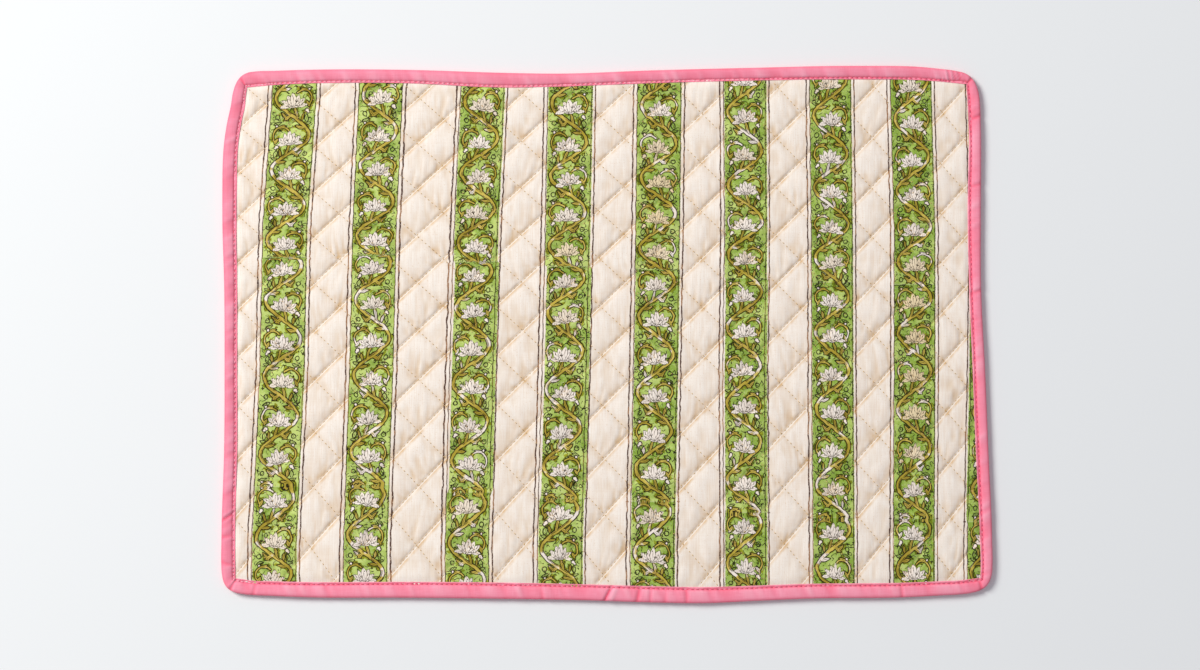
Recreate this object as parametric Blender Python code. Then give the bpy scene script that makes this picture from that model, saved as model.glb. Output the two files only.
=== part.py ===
"""Quilted cotton placemat with a folded cotton binding.

Lengths are metres, +Z is up, and the mat lies flat on z = 0 with its middle over the origin.
+X runs along the long side, and +Y towards the edge that is the top one when the mat is laid.
"""
import math
from collections import namedtuple

import bmesh
import bpy
import numpy as np
from mathutils import Vector
from mathutils.geometry import delaunay_2d_cdt

MM = 0.001

# ---- outline -------------------------------------------------------------------------------
# Hand sewing left no edge quite straight. Each row gives, in millimetres, a place along a side,
# where the mat's outer edge lies there, and how wide the binding is on top.
Row = namedtuple("Row", "along edge band")

BOTTOM = (
    Row(-223, -164.2, 9.2),
    Row(-190, -165.6, 9.8),
    Row(-127, -165.9, 10.2),
    Row(-64, -166.6, 10.4),
    Row(-16, -167.4, 10.2),
    Row(30, -168.9, 10.4),
    Row(62, -169.3, 10.3),
    Row(93, -167.9, 9.8),
    Row(125, -166.5, 9.5),
    Row(188, -165.6, 9.4),
    Row(223, -163.7, 9.0),
)
RIGHT = (
    Row(-144, 243.0, 7.6),
    Row(-123, 242.6, 7.8),
    Row(-73, 240.4, 8.1),
    Row(-22, 238.3, 8.0),
    Row(28, 235.8, 7.6),
    Row(79, 235.6, 8.4),
    Row(129, 235.6, 7.8),
    Row(145, 235.1, 8.0),
)
TOP = (
    Row(221, 165.9, 7.8),
    Row(204, 168.1, 8.4),
    Row(156, 169.3, 8.7),
    Row(93, 168.1, 8.2),
    Row(30, 166.5, 8.2),
    Row(-33, 164.4, 8.4),
    Row(-64, 164.9, 9.4),
    Row(-127, 166.8, 8.6),
    Row(-190, 166.8, 8.8),
    Row(-222, 165.7, 9.3),
)
LEFT = (
    Row(145, -236.8, 9.1),
    Row(129, -240.1, 9.2),
    Row(79, -242.3, 9.2),
    Row(28, -241.1, 8.4),
    Row(-22, -240.9, 8.2),
    Row(-73, -241.2, 8.5),
    Row(-123, -242.8, 8.8),
    Row(-144, -243.0, 9.1),
)

# A corner is drawn from the end of one side to the start of the next. The outer edge is pulled
# towards (x, y) and rounds off; the inner edge turns sharply at (inner_x, inner_y), on the mitre.
Corner = namedtuple("Corner", "x y pull inner_x inner_y")
BOTTOM_RIGHT = Corner(242.9, -161.9, 0.80, 235.4, -153.4)
TOP_RIGHT = Corner(234.4, 164.3, 0.66, 226.6, 157.5)
TOP_LEFT = Corner(-234.6, 165.0, 0.73, -227.2, 155.8)
BOTTOM_LEFT = Corner(-242.6, -163.0, 0.85, -233.8, -153.4)
INNER_PULL = 0.9

SIDE_STEP = 13.0        # mm between cross-sections along a side
CORNER_STEPS = 6        # spans round one corner

# ---- quilting ------------------------------------------------------------------------------
# Two families of sewn lines cross the panel, one rising and one falling to the right. The number
# of a line at a point is a sum of lines * x**i * y**j, with x and y in units of 100 mm: the first
# powers give the even spacing, the others how the panel drew in unevenly as it was sewn.
Term = namedtuple("Term", "i j lines")
RISING = (
    Term(0, 0, -0.30), Term(1, 0, 3.04), Term(0, 1, -3.14),
    Term(2, 0, 0.03), Term(1, 1, 0.05), Term(0, 2, -0.14),
    Term(3, 0, 0.02), Term(2, 1, -0.01), Term(1, 2, 0.02), Term(0, 3, 0.02),
)
FALLING = (
    Term(0, 0, 0.46), Term(1, 0, -3.09), Term(0, 1, -3.32),
    Term(2, 0, -0.06), Term(1, 1, -0.01), Term(0, 2, -0.12),
    Term(3, 0, -0.02), Term(2, 1, 0.0), Term(1, 2, 0.05), Term(0, 3, 0.08),
)
QUILT_UNIT = 100.0      # mm
LINE_REACH = 16         # lines numbered from -16 to 16 cover the panel
PUFF_STEPS = 4          # mesh cells across one diamond

SEAM_TOP = 1.9          # mm, top of the panel along a sewn line
PUFF_TOP = 4.0          # mm, top of a puffed diamond
PUFF_FULLNESS = 0.6     # below 1 a puff is steep at its seams and broad in the middle
FADE_WIDTH = 6.0        # mm from the binding over which the puffs are pressed down
BORDER_CLEAR = 2.4      # mm from the binding that is left to the border's own faces

NEWTON_STEPS = 12       # more than enough to land on a crossing of two lines
NEWTON_NUDGE = 0.01     # mm
SEARCH_REACH = 1.35     # share of the panel's half-size in which crossings are looked for
SAME_POINT = 1e-5       # mm
INSIDE_OUTLINE = 1      # keep the triangles inside the outline alone

# ---- panel edge and binding, as heights in mm ------------------------------------------------
CLOTH_GAP = 0.3
LEG = 1.0               # a folded leg of the binding
RIM_BOTTOM = LEG + CLOTH_GAP
RIM_TOP = RIM_BOTTOM + 1.0
RIM_REACH = 0.21        # how far into the fold the panel's rim stops, in band widths
STEP_IN = 0.4           # mm between the under leg's edge and the panel's underside
UNDERSIDE_CELL = 26.0   # mm, mesh of the flat underside
UNDERSIDE_CLEAR = 9.0   # mm from its edge that this mesh leaves free

# The binding's cross-section: place across the band (0 outer fold, 1 inner edge) and height.
Profile = namedtuple("Profile", "across height crown")
BINDING_PROFILE = (
    Profile(1.00, 0.0, 0.0),
    Profile(0.10, 0.0, 0.0),
    Profile(0.00, 0.7, 0.0),
    Profile(0.00, 2.6, 0.0),
    Profile(0.10, 3.6, 0.5),
    Profile(0.36, 4.35, 1.0),
    Profile(0.72, 4.2, 0.8),
    Profile(1.00, RIM_TOP + CLOTH_GAP + LEG, 0.0),
    Profile(1.00, RIM_TOP + CLOTH_GAP, 0.0),
    Profile(0.16, RIM_TOP + CLOTH_GAP, 0.0),
    Profile(0.16, LEG, 0.0),
    Profile(1.00, LEG, 0.0),
)
RIPPLE = 0.15           # mm, how much the binding's crown rises and falls along the edge
RIPPLE_WAVES = 37       # ripples round the whole mat
MITRE_DIP = 0.5         # mm, crease of the folded corner

# ---- finishes ------------------------------------------------------------------------------
CREAM_COTTON = (0.86, 0.80, 0.70)
PINK_COTTON = (0.93, 0.25, 0.37)
CLOTH_ROUGHNESS = 0.9
SMOOTH_ANGLE = math.radians(50)


def clear_scene():
    """Start from an empty scene."""
    for obj in list(bpy.data.objects):
        bpy.data.objects.remove(obj, do_unlink=True)


def cloth_material(name, colour):
    """A plain matt cloth of one colour."""
    material = bpy.data.materials.new(name)
    material.use_nodes = True
    shader = material.node_tree.nodes["Principled BSDF"]
    shader.inputs["Base Color"].default_value = (*colour, 1.0)
    shader.inputs["Roughness"].default_value = CLOTH_ROUGHNESS
    shader.inputs["Metallic"].default_value = 0.0
    return material


def smooth_between(rows, places, column):
    """A cubic curve through one column of a side's rows, read at places along the side."""
    rows = sorted(rows)
    known = np.array([row.along for row in rows], dtype=float)
    values = np.array([getattr(row, column) for row in rows])
    slopes = np.gradient(values, known)
    index = np.clip(np.searchsorted(known, places) - 1, 0, len(known) - 2)
    span = known[index + 1] - known[index]
    t = (places - known[index]) / span
    start = (2 * t**3 - 3 * t**2 + 1) * values[index] + (t**3 - 2 * t**2 + t) * span * slopes[index]
    end = (3 * t**2 - 2 * t**3) * values[index + 1] + (t**3 - t**2) * span * slopes[index + 1]
    return start + end


def side_stations(rows, upright, inward):
    """Outer and inner edge points of one side, in the order of its rows."""
    first, last = rows[0].along, rows[-1].along
    spans = max(2, round(abs(last - first) / SIDE_STEP))
    places = np.linspace(first, last, spans + 1)
    outer = smooth_between(rows, places, "edge")
    inner = outer + inward * smooth_between(rows, places, "band")
    if upright:
        return [((o, p), (i, p)) for p, o, i in zip(places, outer, inner)]
    return [((p, o), (p, i)) for p, o, i in zip(places, outer, inner)]


def pulled_curve(start, target, end, pull, t):
    """A point at t on the cubic from start to end whose handles reach a share pull to target."""
    start, target, end = np.array(start), np.array(target), np.array(end)
    near = start + pull * (target - start)
    far = end + pull * (target - end)
    return (1 - t)**3 * start + 3 * (1 - t)**2 * t * near + 3 * (1 - t) * t**2 * far + t**3 * end


def corner_stations(corner, before, after):
    """Outer and inner points between the last station of one side and the first of the next."""
    stations = []
    for step in range(1, CORNER_STEPS):
        t = step / CORNER_STEPS
        outer = pulled_curve(before[0], (corner.x, corner.y), after[0], corner.pull, t)
        inner = pulled_curve(before[1], (corner.inner_x, corner.inner_y), after[1], INNER_PULL, t)
        stations.append((tuple(outer), tuple(inner)))
    return stations


def outline_stations():
    """Stations round the whole mat, anticlockwise, and the numbers of those on the mitres."""
    sides = (
        side_stations(BOTTOM, upright=False, inward=1),
        side_stations(RIGHT, upright=True, inward=-1),
        side_stations(TOP, upright=False, inward=-1),
        side_stations(LEFT, upright=True, inward=1),
    )
    corners = (BOTTOM_RIGHT, TOP_RIGHT, TOP_LEFT, BOTTOM_LEFT)
    stations, mitres = [], []
    for number, (side, corner) in enumerate(zip(sides, corners)):
        following = sides[(number + 1) % len(sides)]
        stations += side
        mitres.append(len(stations) + CORNER_STEPS // 2 - 1)
        stations += corner_stations(corner, side[-1], following[0])
    return stations, mitres


def loop_at(stations, across, further=0.0):
    """The closed loop at a share across the band, and then so many mm further in."""
    outer = np.array([station[0] for station in stations])
    inner = np.array([station[1] for station in stations])
    loop = outer + across * (inner - outer)
    if further:
        tangent = np.roll(loop, -1, axis=0) - np.roll(loop, 1, axis=0)
        tangent /= np.linalg.norm(tangent, axis=1)[:, None]
        loop = loop + further * np.column_stack((-tangent[:, 1], tangent[:, 0]))
    return loop


def line_number(family, x, y):
    """Which line of a family runs through a point; whole numbers are sewn lines."""
    u, v = x / QUILT_UNIT, y / QUILT_UNIT
    return sum(term.lines * u**term.i * v**term.j for term in family)


def crossing(rising, falling):
    """The point where a rising and a falling line meet, by a few Newton steps from the middle."""
    point = np.zeros(2)
    wanted = np.array([rising, falling])
    for _ in range(NEWTON_STEPS):
        here = np.array([line_number(RISING, *point), line_number(FALLING, *point)])
        slope = np.empty((2, 2))
        for axis in range(2):
            moved = point.copy()
            moved[axis] += NEWTON_NUDGE
            there = np.array([line_number(RISING, *moved), line_number(FALLING, *moved)])
            slope[:, axis] = (there - here) / NEWTON_NUDGE
        point = point + np.linalg.solve(slope, wanted - here)
    return point


def inside_and_distance(points, loop):
    """For each point, whether it lies in a closed loop, and its distance to the loop."""
    start = loop
    end = np.roll(loop, -1, axis=0)
    run = end - start
    inside = np.zeros(len(points), dtype=bool)
    distance = np.full(len(points), np.inf)
    for a, b, d in zip(start, end, run):
        crosses = (a[1] > points[:, 1]) != (b[1] > points[:, 1])
        if abs(d[1]) > 0:
            hit_x = a[0] + (points[:, 1] - a[1]) / d[1] * d[0]
            inside ^= crosses & (points[:, 0] < hit_x)
        share = np.clip(((points - a) @ d) / (d @ d), 0, 1)
        nearest = a + share[:, None] * d
        distance = np.minimum(distance, np.linalg.norm(points - nearest, axis=1))
    return inside, distance


def panel_top_height(x, y, distance):
    """Height of the quilted top at a point so far in from the binding's inner edge."""
    puff = 1.0
    for family in (RISING, FALLING):
        share = line_number(family, x, y) % 1.0
        puff *= max(0.0, 4 * share * (1 - share))**PUFF_FULLNESS
    height = SEAM_TOP + (PUFF_TOP - SEAM_TOP) * puff
    fade = min(1.0, max(0.0, distance) / FADE_WIDTH)
    fade = fade * fade * (3 - 2 * fade)
    return RIM_TOP + (height - RIM_TOP) * fade


def quilt_grid(inner_loop):
    """Mesh points of the puffs: crossings of the sewn lines and of even lines between them."""
    steps = range(-LINE_REACH * PUFF_STEPS, LINE_REACH * PUFF_STEPS + 1)
    reach = np.abs(inner_loop).max(axis=0)
    linear = np.array([
        [term.lines for term in RISING if (term.i, term.j) in ((1, 0), (0, 1))],
        [term.lines for term in FALLING if (term.i, term.j) in ((1, 0), (0, 1))],
    ])
    number, points = {}, []
    for a in steps:
        for b in steps:
            wanted = np.array([a, b]) / PUFF_STEPS
            rough = np.linalg.solve(linear, wanted) * QUILT_UNIT
            if np.any(np.abs(rough) > SEARCH_REACH * reach):
                continue
            number[(a, b)] = len(points)
            points.append(crossing(*wanted))
    points = np.array(points)
    inside, distance = inside_and_distance(points, inner_loop)
    kept = inside & (distance > BORDER_CLEAR)
    return points, kept, number


def triangulate(points, edges, outer_count):
    """Triangles that fill the loop of the first outer_count points and use every point."""
    outline = [list(range(outer_count))]
    flat = [Vector(point) for point in points]
    found = delaunay_2d_cdt(flat, edges, outline, INSIDE_OUTLINE, SAME_POINT)
    positions, faces = found[0], found[2]
    return [tuple(position) for position in positions], [tuple(face) for face in faces]


def ring_edges(first, count):
    """The edges that close a run of points into a loop."""
    return [(first + i, first + (i + 1) % count) for i in range(count)]


def panel_top(stations):
    """The quilted top out to the rim inside the binding, as 3-D points and triangles."""
    rim = loop_at(stations, RIM_REACH)
    inner = loop_at(stations, 1.0)
    grid, kept, number = quilt_grid(inner)
    fresh = {old: 2 * len(rim) + new for new, old in enumerate(np.flatnonzero(kept))}
    flat = np.vstack((rim, inner, grid[kept]))
    edges = ring_edges(len(rim), len(inner))
    for (a, b), old in number.items():
        for ahead, sewn in (((a + 1, b), b), ((a, b + 1), a)):
            other = number.get(ahead)
            if sewn % PUFF_STEPS == 0 and old in fresh and other in fresh:
                edges.append((fresh[old], fresh[other]))
    positions, faces = triangulate(flat, edges, len(rim))
    inside, distance = inside_and_distance(np.array(positions), inner)
    points = []
    for (x, y), within, far in zip(positions, inside, distance):
        points.append((x, y, panel_top_height(x, y, far if within else 0.0)))
    return points, faces


def panel_underside(stations):
    """The flat underside inside the binding's under leg, as 2-D points and triangles."""
    loop = loop_at(stations, 1.0, further=STEP_IN)
    reach = np.abs(loop).max(axis=0)
    counts = [int(2 * size // UNDERSIDE_CELL) for size in reach]
    xs = np.linspace(-reach[0], reach[0], counts[0] + 1)
    ys = np.linspace(-reach[1], reach[1], counts[1] + 1)
    grid = np.array([(x, y) for x in xs for y in ys])
    inside, distance = inside_and_distance(grid, loop)
    grid = grid[inside & (distance > UNDERSIDE_CLEAR)]
    return triangulate(np.vstack((loop, grid)), [], len(loop))


def mesh_object(name, mesh, material):
    """A named object that holds a finished mesh."""
    data = bpy.data.meshes.new(name)
    mesh.to_mesh(data)
    mesh.free()
    data.shade_smooth()
    data.set_sharp_from_angle(angle=SMOOTH_ANGLE)
    data.materials.append(material)
    obj = bpy.data.objects.new(name, data)
    bpy.context.scene.collection.objects.link(obj)
    return obj


def in_metres(x, y, z):
    """A point given in millimetres."""
    return (x * MM, y * MM, z * MM)


def add_ring(mesh, loop, height):
    """Vertices of a flat closed loop."""
    return [mesh.verts.new(in_metres(x, y, height)) for x, y in loop]


def bridge(mesh, first, second):
    """Four-sided faces between two loops of the same number of vertices."""
    count = len(first)
    for i in range(count):
        j = (i + 1) % count
        mesh.faces.new((first[i], first[j], second[j], second[i]))


def build_panel(stations):
    """The quilted panel: printed top, padding and backing sewn through into one sheet."""
    count = len(stations)
    mesh = bmesh.new()
    top_points, top_faces = panel_top(stations)
    top = [mesh.verts.new(in_metres(*point)) for point in top_points]
    for face in top_faces:
        mesh.faces.new([top[i] for i in face])
    rim_under = add_ring(mesh, loop_at(stations, RIM_REACH), RIM_BOTTOM)
    shoulder = add_ring(mesh, loop_at(stations, 1.0, further=STEP_IN), RIM_BOTTOM)
    flat_points, flat_faces = panel_underside(stations)
    under = [mesh.verts.new(in_metres(x, y, 0.0)) for x, y in flat_points]
    for face in flat_faces:
        mesh.faces.new([under[i] for i in reversed(face)])
    bridge(mesh, rim_under, top[:count])
    bridge(mesh, shoulder, rim_under)
    bridge(mesh, under[:count], shoulder)
    bmesh.ops.recalc_face_normals(mesh, faces=mesh.faces)
    bmesh.ops.triangulate(mesh, faces=mesh.faces)
    return mesh_object("quilted_panel", mesh, cloth_material("printed_cotton", CREAM_COTTON))


def build_binding(stations, mitres):
    """The binding: one cotton strip folded over the panel's rim and mitred at the corners."""
    count = len(stations)
    outer = np.array([station[0] for station in stations])
    inner = np.array([station[1] for station in stations])
    mesh = bmesh.new()
    sections = []
    for number in range(count):
        wave = RIPPLE * math.sin(2 * math.pi * RIPPLE_WAVES * number / count)
        lift = -MITRE_DIP if number in mitres else wave
        section = []
        for profile in BINDING_PROFILE:
            x, y = outer[number] + profile.across * (inner[number] - outer[number])
            height = profile.height + profile.crown * lift
            section.append(mesh.verts.new(in_metres(x, y, height)))
        sections.append(section)
    for number in range(count):
        here, there = sections[number], sections[(number + 1) % count]
        for i in range(len(BINDING_PROFILE)):
            j = (i + 1) % len(BINDING_PROFILE)
            mesh.faces.new((here[i], here[j], there[j], there[i]))
    bmesh.ops.recalc_face_normals(mesh, faces=mesh.faces)
    bmesh.ops.triangulate(mesh, faces=mesh.faces)
    return mesh_object("edge_binding", mesh, cloth_material("pink_cotton", PINK_COTTON))


def main():
    """Build the panel and the binding round one outline."""
    clear_scene()
    stations, mitres = outline_stations()
    build_panel(stations)
    build_binding(stations, mitres)


main()
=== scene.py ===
"""Quilted placemat of block-printed cotton with a folded pink binding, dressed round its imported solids.

The mat lies on z = 0, +X runs along its long side and +Y towards its top edge. Tables and names that
say so are in millimetres, and MM turns them into Blender's metres.
"""
import math
from collections import namedtuple
from functools import partial, reduce
from types import SimpleNamespace
import bpy
import numpy as np
from bpy.props import FloatProperty, FloatVectorProperty, PointerProperty
from bpy.types import Operator, Panel, PropertyGroup
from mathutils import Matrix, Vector
from mathutils.kdtree import KDTree


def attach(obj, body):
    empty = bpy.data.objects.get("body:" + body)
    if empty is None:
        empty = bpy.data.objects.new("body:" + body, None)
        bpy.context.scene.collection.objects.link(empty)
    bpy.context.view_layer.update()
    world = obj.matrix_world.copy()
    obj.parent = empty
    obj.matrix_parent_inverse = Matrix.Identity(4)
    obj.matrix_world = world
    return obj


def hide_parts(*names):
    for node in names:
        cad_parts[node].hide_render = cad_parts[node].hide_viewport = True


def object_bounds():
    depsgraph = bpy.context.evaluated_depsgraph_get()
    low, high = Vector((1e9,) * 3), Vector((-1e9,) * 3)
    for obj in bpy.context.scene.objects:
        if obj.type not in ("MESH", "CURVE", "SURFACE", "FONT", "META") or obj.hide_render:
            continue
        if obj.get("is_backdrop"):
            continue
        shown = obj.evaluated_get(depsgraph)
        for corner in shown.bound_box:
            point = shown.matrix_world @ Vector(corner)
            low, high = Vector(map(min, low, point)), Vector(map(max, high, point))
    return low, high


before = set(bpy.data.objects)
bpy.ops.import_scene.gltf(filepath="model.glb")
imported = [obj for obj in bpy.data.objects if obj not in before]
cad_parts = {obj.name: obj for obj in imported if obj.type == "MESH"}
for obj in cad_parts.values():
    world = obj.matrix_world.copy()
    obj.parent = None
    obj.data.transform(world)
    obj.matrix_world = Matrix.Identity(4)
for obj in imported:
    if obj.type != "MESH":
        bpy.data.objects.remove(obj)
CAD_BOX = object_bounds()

bl_info = {
    "name": "Quilted placemat",
    "version": (1, 0, 0),
    "blender": (4, 5, 0),
    "location": "3D View > Sidebar > Placemat",
    "description": "A block-printed, quilted cotton placemat with a folded binding",
    "category": "Object",
}

MM = 0.001                # one millimetre in Blender's metres

# ---- the frame's binding, from which both edges of the mat are read ----------------------------
OUTER_FOLD_MM = 0.7       # height of the solid's outermost corner line
UNDER_LEG_START = 0.10    # place across the band of the under leg's outer corner
SAME_HEIGHT_MM = 0.02

# ---- quilting: line numbers are sums of lines * x**i * y**j, x and y in units of 100 mm --------
Term = namedtuple("Term", "i j lines")
RISING = (
    Term(0, 0, -0.30), Term(1, 0, 3.04), Term(0, 1, -3.14), Term(2, 0, 0.03), Term(1, 1, 0.05),
    Term(0, 2, -0.14), Term(3, 0, 0.02), Term(2, 1, -0.01), Term(1, 2, 0.02), Term(0, 3, 0.02),
)
FALLING = (
    Term(0, 0, 0.46), Term(1, 0, -3.09), Term(0, 1, -3.32), Term(2, 0, -0.06), Term(1, 1, -0.01),
    Term(0, 2, -0.12), Term(3, 0, -0.02), Term(1, 2, 0.05), Term(0, 3, 0.08),
)
QUILT_UNIT_MM = 100.0
DIAMOND_MM = 22.6         # usual distance between two seams
NEWTON_STEPS = 8
NEWTON_NUDGE_MM = 0.01
NEWTON_REACH_MM = 20.0
ON_SEAM = 0.001           # share of a diamond within which a point counts as on its seam
SEAM_CROWDING = 0.35      # how much closer the mesh rows lie at a seam than in mid-puff
DIAMOND_TABLE = 64        # diamonds each way in a table of chances, with line 0 in its middle

# ---- the two cloths of the panel ---------------------------------------------------------------
TOP_CELLS = 17            # mesh cells across one diamond
BACK_CELLS = 7
TOP_FLOOR_MM = 1.05       # hidden flat side of the printed cloth and its wadding
BACK_CEILING_MM = 0.95    # hidden flat side of the backing
RIM_ACROSS = 0.30         # how far into the fold both cloths reach, in band widths
RIM_TOP_MM = 2.58
BACK_BASE_MM = 0.02       # lowest points of the backing
TUCKED_MM = 0.65          # how far the backing is lifted over the binding's under leg
TUCK_WIDTH_MM = 3.0
PRESSED_MM = 2.6          # width over which the binding presses the puffs down
PRESSED_FROM_MM = -0.4    # where that width begins, in from the binding's inner edge
BORDER_STEP_MM = 0.1
DEPTH_LIMIT_MM = 12.0
FALLING_STEEPER = 0.15    # how much steeper a puff is at its falling seams
BACK_STEEPNESS = 0.75
LEAST_SWELL = 0.86        # height of the flattest puff beside the fullest one
FOLD_ACROSS_MM = 2.0      # half the usual distance between two soft upright folds of a puff
FOLD_ALONG_MM = 9.0
FOLD_LEAN = 0.25          # the most that a fold leans to either side, as a slope
FOLD_SHIFT = 60           # how far apart the folds of two puffs may lie in their noise
LEAST_FOLD = 0.45         # depth of the faintest folds beside the deepest
# The folds are half as deep in a puff's upper left part, and fade out beside its seams: past the
# rising one, before the next rising one and past the falling one, in shares of a diamond.
GATHERED = SimpleNamespace(start=0.35, width=0.4)
FOLD_FADE = SimpleNamespace(past_rising=0.3, before_rising=0.08, past_falling=0.1)
LUMP_MM = 8.0
PUCKER_MM = 2.5
TAKE_UP = 1.018           # cloth that the puffs take up, each way, while the panel is quilted
# Start and length of the parts of the bake map that the cloth takes up: across, and up for its
# shown and its hidden side.
MAP_ACROSS = (0.002, 0.996)
MAP_SHOWN = (0.040, 0.957)
MAP_HIDDEN = (0.002, 0.030)

# ---- the block print ---------------------------------------------------------------------------
# One printed stripe: its middle at four heights, half the distance between its outer lines, the
# height of its first flower, the gap between the flowers on both sides of the upper joint of the
# blocks, and how far the green block sat to the right of the line block in the upper, middle and
# lower placing.
Stripe = namedtuple("Stripe", "top upper lower bottom half first joint_gap shift_up shift_mid shift_low")
STRIPE_HEIGHTS = (-132.8, -22.4, 65.9, 154.2)
STRIPES = (
    Stripe(-196.7, -202.9, -204.6, -209.9, 16.3, 147.3, 16.4, 0.3, 0.3, 0.6),
    Stripe(-142.3, -146.4, -148.4, -152.3, 16.0, 149.8, 17.7, 0.0, 0.1, 0.4),
    Stripe(-78.4, -82.6, -85.5, -88.2, 16.0, 145.4, 18.3, 0.6, 1.7, 0.2),
    Stripe(-23.3, -25.0, -27.0, -30.0, 16.3, 143.5, 20.2, 0.6, 1.8, 0.8),
    Stripe(33.0, 31.9, 30.4, 28.3, 16.1, 142.2, 20.8, 0.2, 0.6, 0.6),
    Stripe(86.5, 87.1, 86.0, 86.7, 15.4, 137.8, 23.3, 0.7, 1.5, 1.2),
    Stripe(140.4, 141.5, 141.8, 142.6, 15.1, 135.9, 24.6, 0.4, 0.5, 0.5),
    Stripe(191.2, 193.6, 193.7, 193.1, 15.0, 134.0, 23.3, 0.3, 0.2, 0.5),
    Stripe(241.0, 243.6, 242.2, 240.0, 15.4, 132.7, 24.0, -1.0, -0.8, 0.4),
)
ROW_GAPS_MM = (24.0, 21.4, 22.7, 21.4, None, 22.1, 24.3, 23.7, 24.6, 24.0, 27.0, 25.6)
ROWS_BEYOND = 4           # rows of flowers that run on under the binding, above and below
# The last row of the upper and of the middle placing of the blocks, and how much of the gap to the
# next row's flowers lies above the joint.
JOINTS = ((4, 0.55), (10, 0.68))
JOINT_BAND_MM = 0.6
JOINT_REACH_MM = 5.0      # how far from a joint its ink differs from the rest
PITCH_MM = 56.0           # nominal distance between stripes
ROW_MM = 23.1             # nominal distance between flowers
OUTER_LINE_MM = 16.1      # the outer and the inner brown line, from a stripe's middle
EDGE_LINE_MM = 13.7
BROWN_LINES = ((EDGE_LINE_MM, 0.28), (OUTER_LINE_MM, 0.42))   # with half their widths
GREEN_HALF_MM = 13.9

# ---- the motif of one row, in mm from the middle of its flower, its stem on the left -----------
Blade = namedtuple("Blade", "x y to_x to_y width")
Bud = namedtuple("Bud", "x y radius")
CELL_TOP_MM = 10.4        # a row's motif starts so far above its flower's middle
STEM_SWING_MM = 11.0
STEM_LEAD_MM = 2.0
STEM_HALF_MM = 1.15
HOOK_MM = SimpleNamespace(x=5.9, y=1.5, radius=5.2, half=0.70)
HOOK_MIDDLE = math.radians(50)      # direction of the hook's middle, and how far it runs each way
HOOK_REACH = math.radians(88)
STALK = Blade(0.3, -2.4, 3.3, -12.2, 1.9)
OLIVE_LEAVES = (
    Blade(-8.6, 6.3, -1.9, 7.8, 2.1),
    Blade(-0.2, -8.6, -5.4, -11.9, 2.3),
    Blade(7.9, 0.6, 10.2, -4.2, 2.1),
    Blade(5.9, -12.6, 6.8, -7.2, 1.8),
    Blade(3.4, 7.9, 9.6, 5.9, 1.9),
    Blade(-2.2, -12.4, -7.2, -7.4, 1.8),
)
GREEN_LEAVES = (
    Blade(9.4, -12.8, 8.6, -8.2, 2.3),
    Blade(-10.2, -2.8, -5.9, -0.5, 1.8),
    Blade(11.0, 8.0, 6.4, 10.0, 1.8),
    Blade(-11.8, 9.9, -7.6, 8.7, 1.8),
)
BUDS = (Bud(8.6, -5.9, 1.25), Bud(9.4, -6.9, 0.9), Bud(9.0, 7.4, 0.9))
RING = Bud(-9.2, -10.1, 1.3)
FLOWER_FOOT_MM = (0.4, -3.6)
# Petals from the foot, the back ones first; the first is the boat-shaped cup under them all.
PETALS = (
    Blade(-5.2, 0.9, 5.2, 0.9, 3.6),
    Blade(-1.6, 0.6, -8.6, 0.0, 2.7),
    Blade(1.6, 0.6, 8.4, 0.2, 2.7),
    Blade(-1.4, 0.2, -7.3, 4.6, 3.1),
    Blade(1.4, 0.2, 7.3, 4.8, 3.1),
    Blade(-0.6, 0.0, -3.5, 7.2, 3.2),
    Blade(0.6, 0.0, 3.9, 7.1, 3.2),
    Blade(0.0, -0.4, -0.2, 8.8, 3.7),
)
# Where the olive block strayed over the flowers and left them straw-coloured: stripe, row, reach.
STRAYED = ((4, 2.5, 2.6), (7, 6.5, 3.6), (3, 4.0, 1.2))
STRAY_FADE = 1.5          # width of the edge of that reach, in rows
STRIPE_APART = 5          # how many rows one stripe counts for in it

# ---- the inks ----------------------------------------------------------------------------------
VEIN_SHARE = 0.62         # length of a blade's middle vein beside the blade's own
VEIN_HALF_MM = 0.13
INK_LINE_MM = 0.33        # half the width of a dark outline; the real one is finer and would not show
PETAL_LINE_MM = 0.17
INK_SOFT_MM = 0.09        # half the width of an ink's soft edge
BAND_SOFT_MM = 0.15
RAGGED_MM = 0.35          # how far specks of ink stray over the edge of a shape
SLIP_MM = 0.5             # how far the olive stem slips from its outline to either side
STEM_SHADE_MM = 0.42      # the line of shade in a stem, right of its middle
WAVER_MM = 2.0            # waver of the block cutter's hand, and its share in plants and in lines
PLANT_WAVER = 0.8
LINE_WAVER = 0.7
FLOWER_LEAN = 0.17        # the most that a flower leans to either side, in radians
FLOWER_WIDTHS = (0.92, 1.08)
# Sizes of the uneven patterns: 17 wavers to 100 mm, 11 specks to 10 mm, and so on.
HAND_MM = 100 / 17
GRAIN_MM = 10 / 11
PATCH_MM = 40 / 3
CURL_MM = 50 / 17
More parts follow.
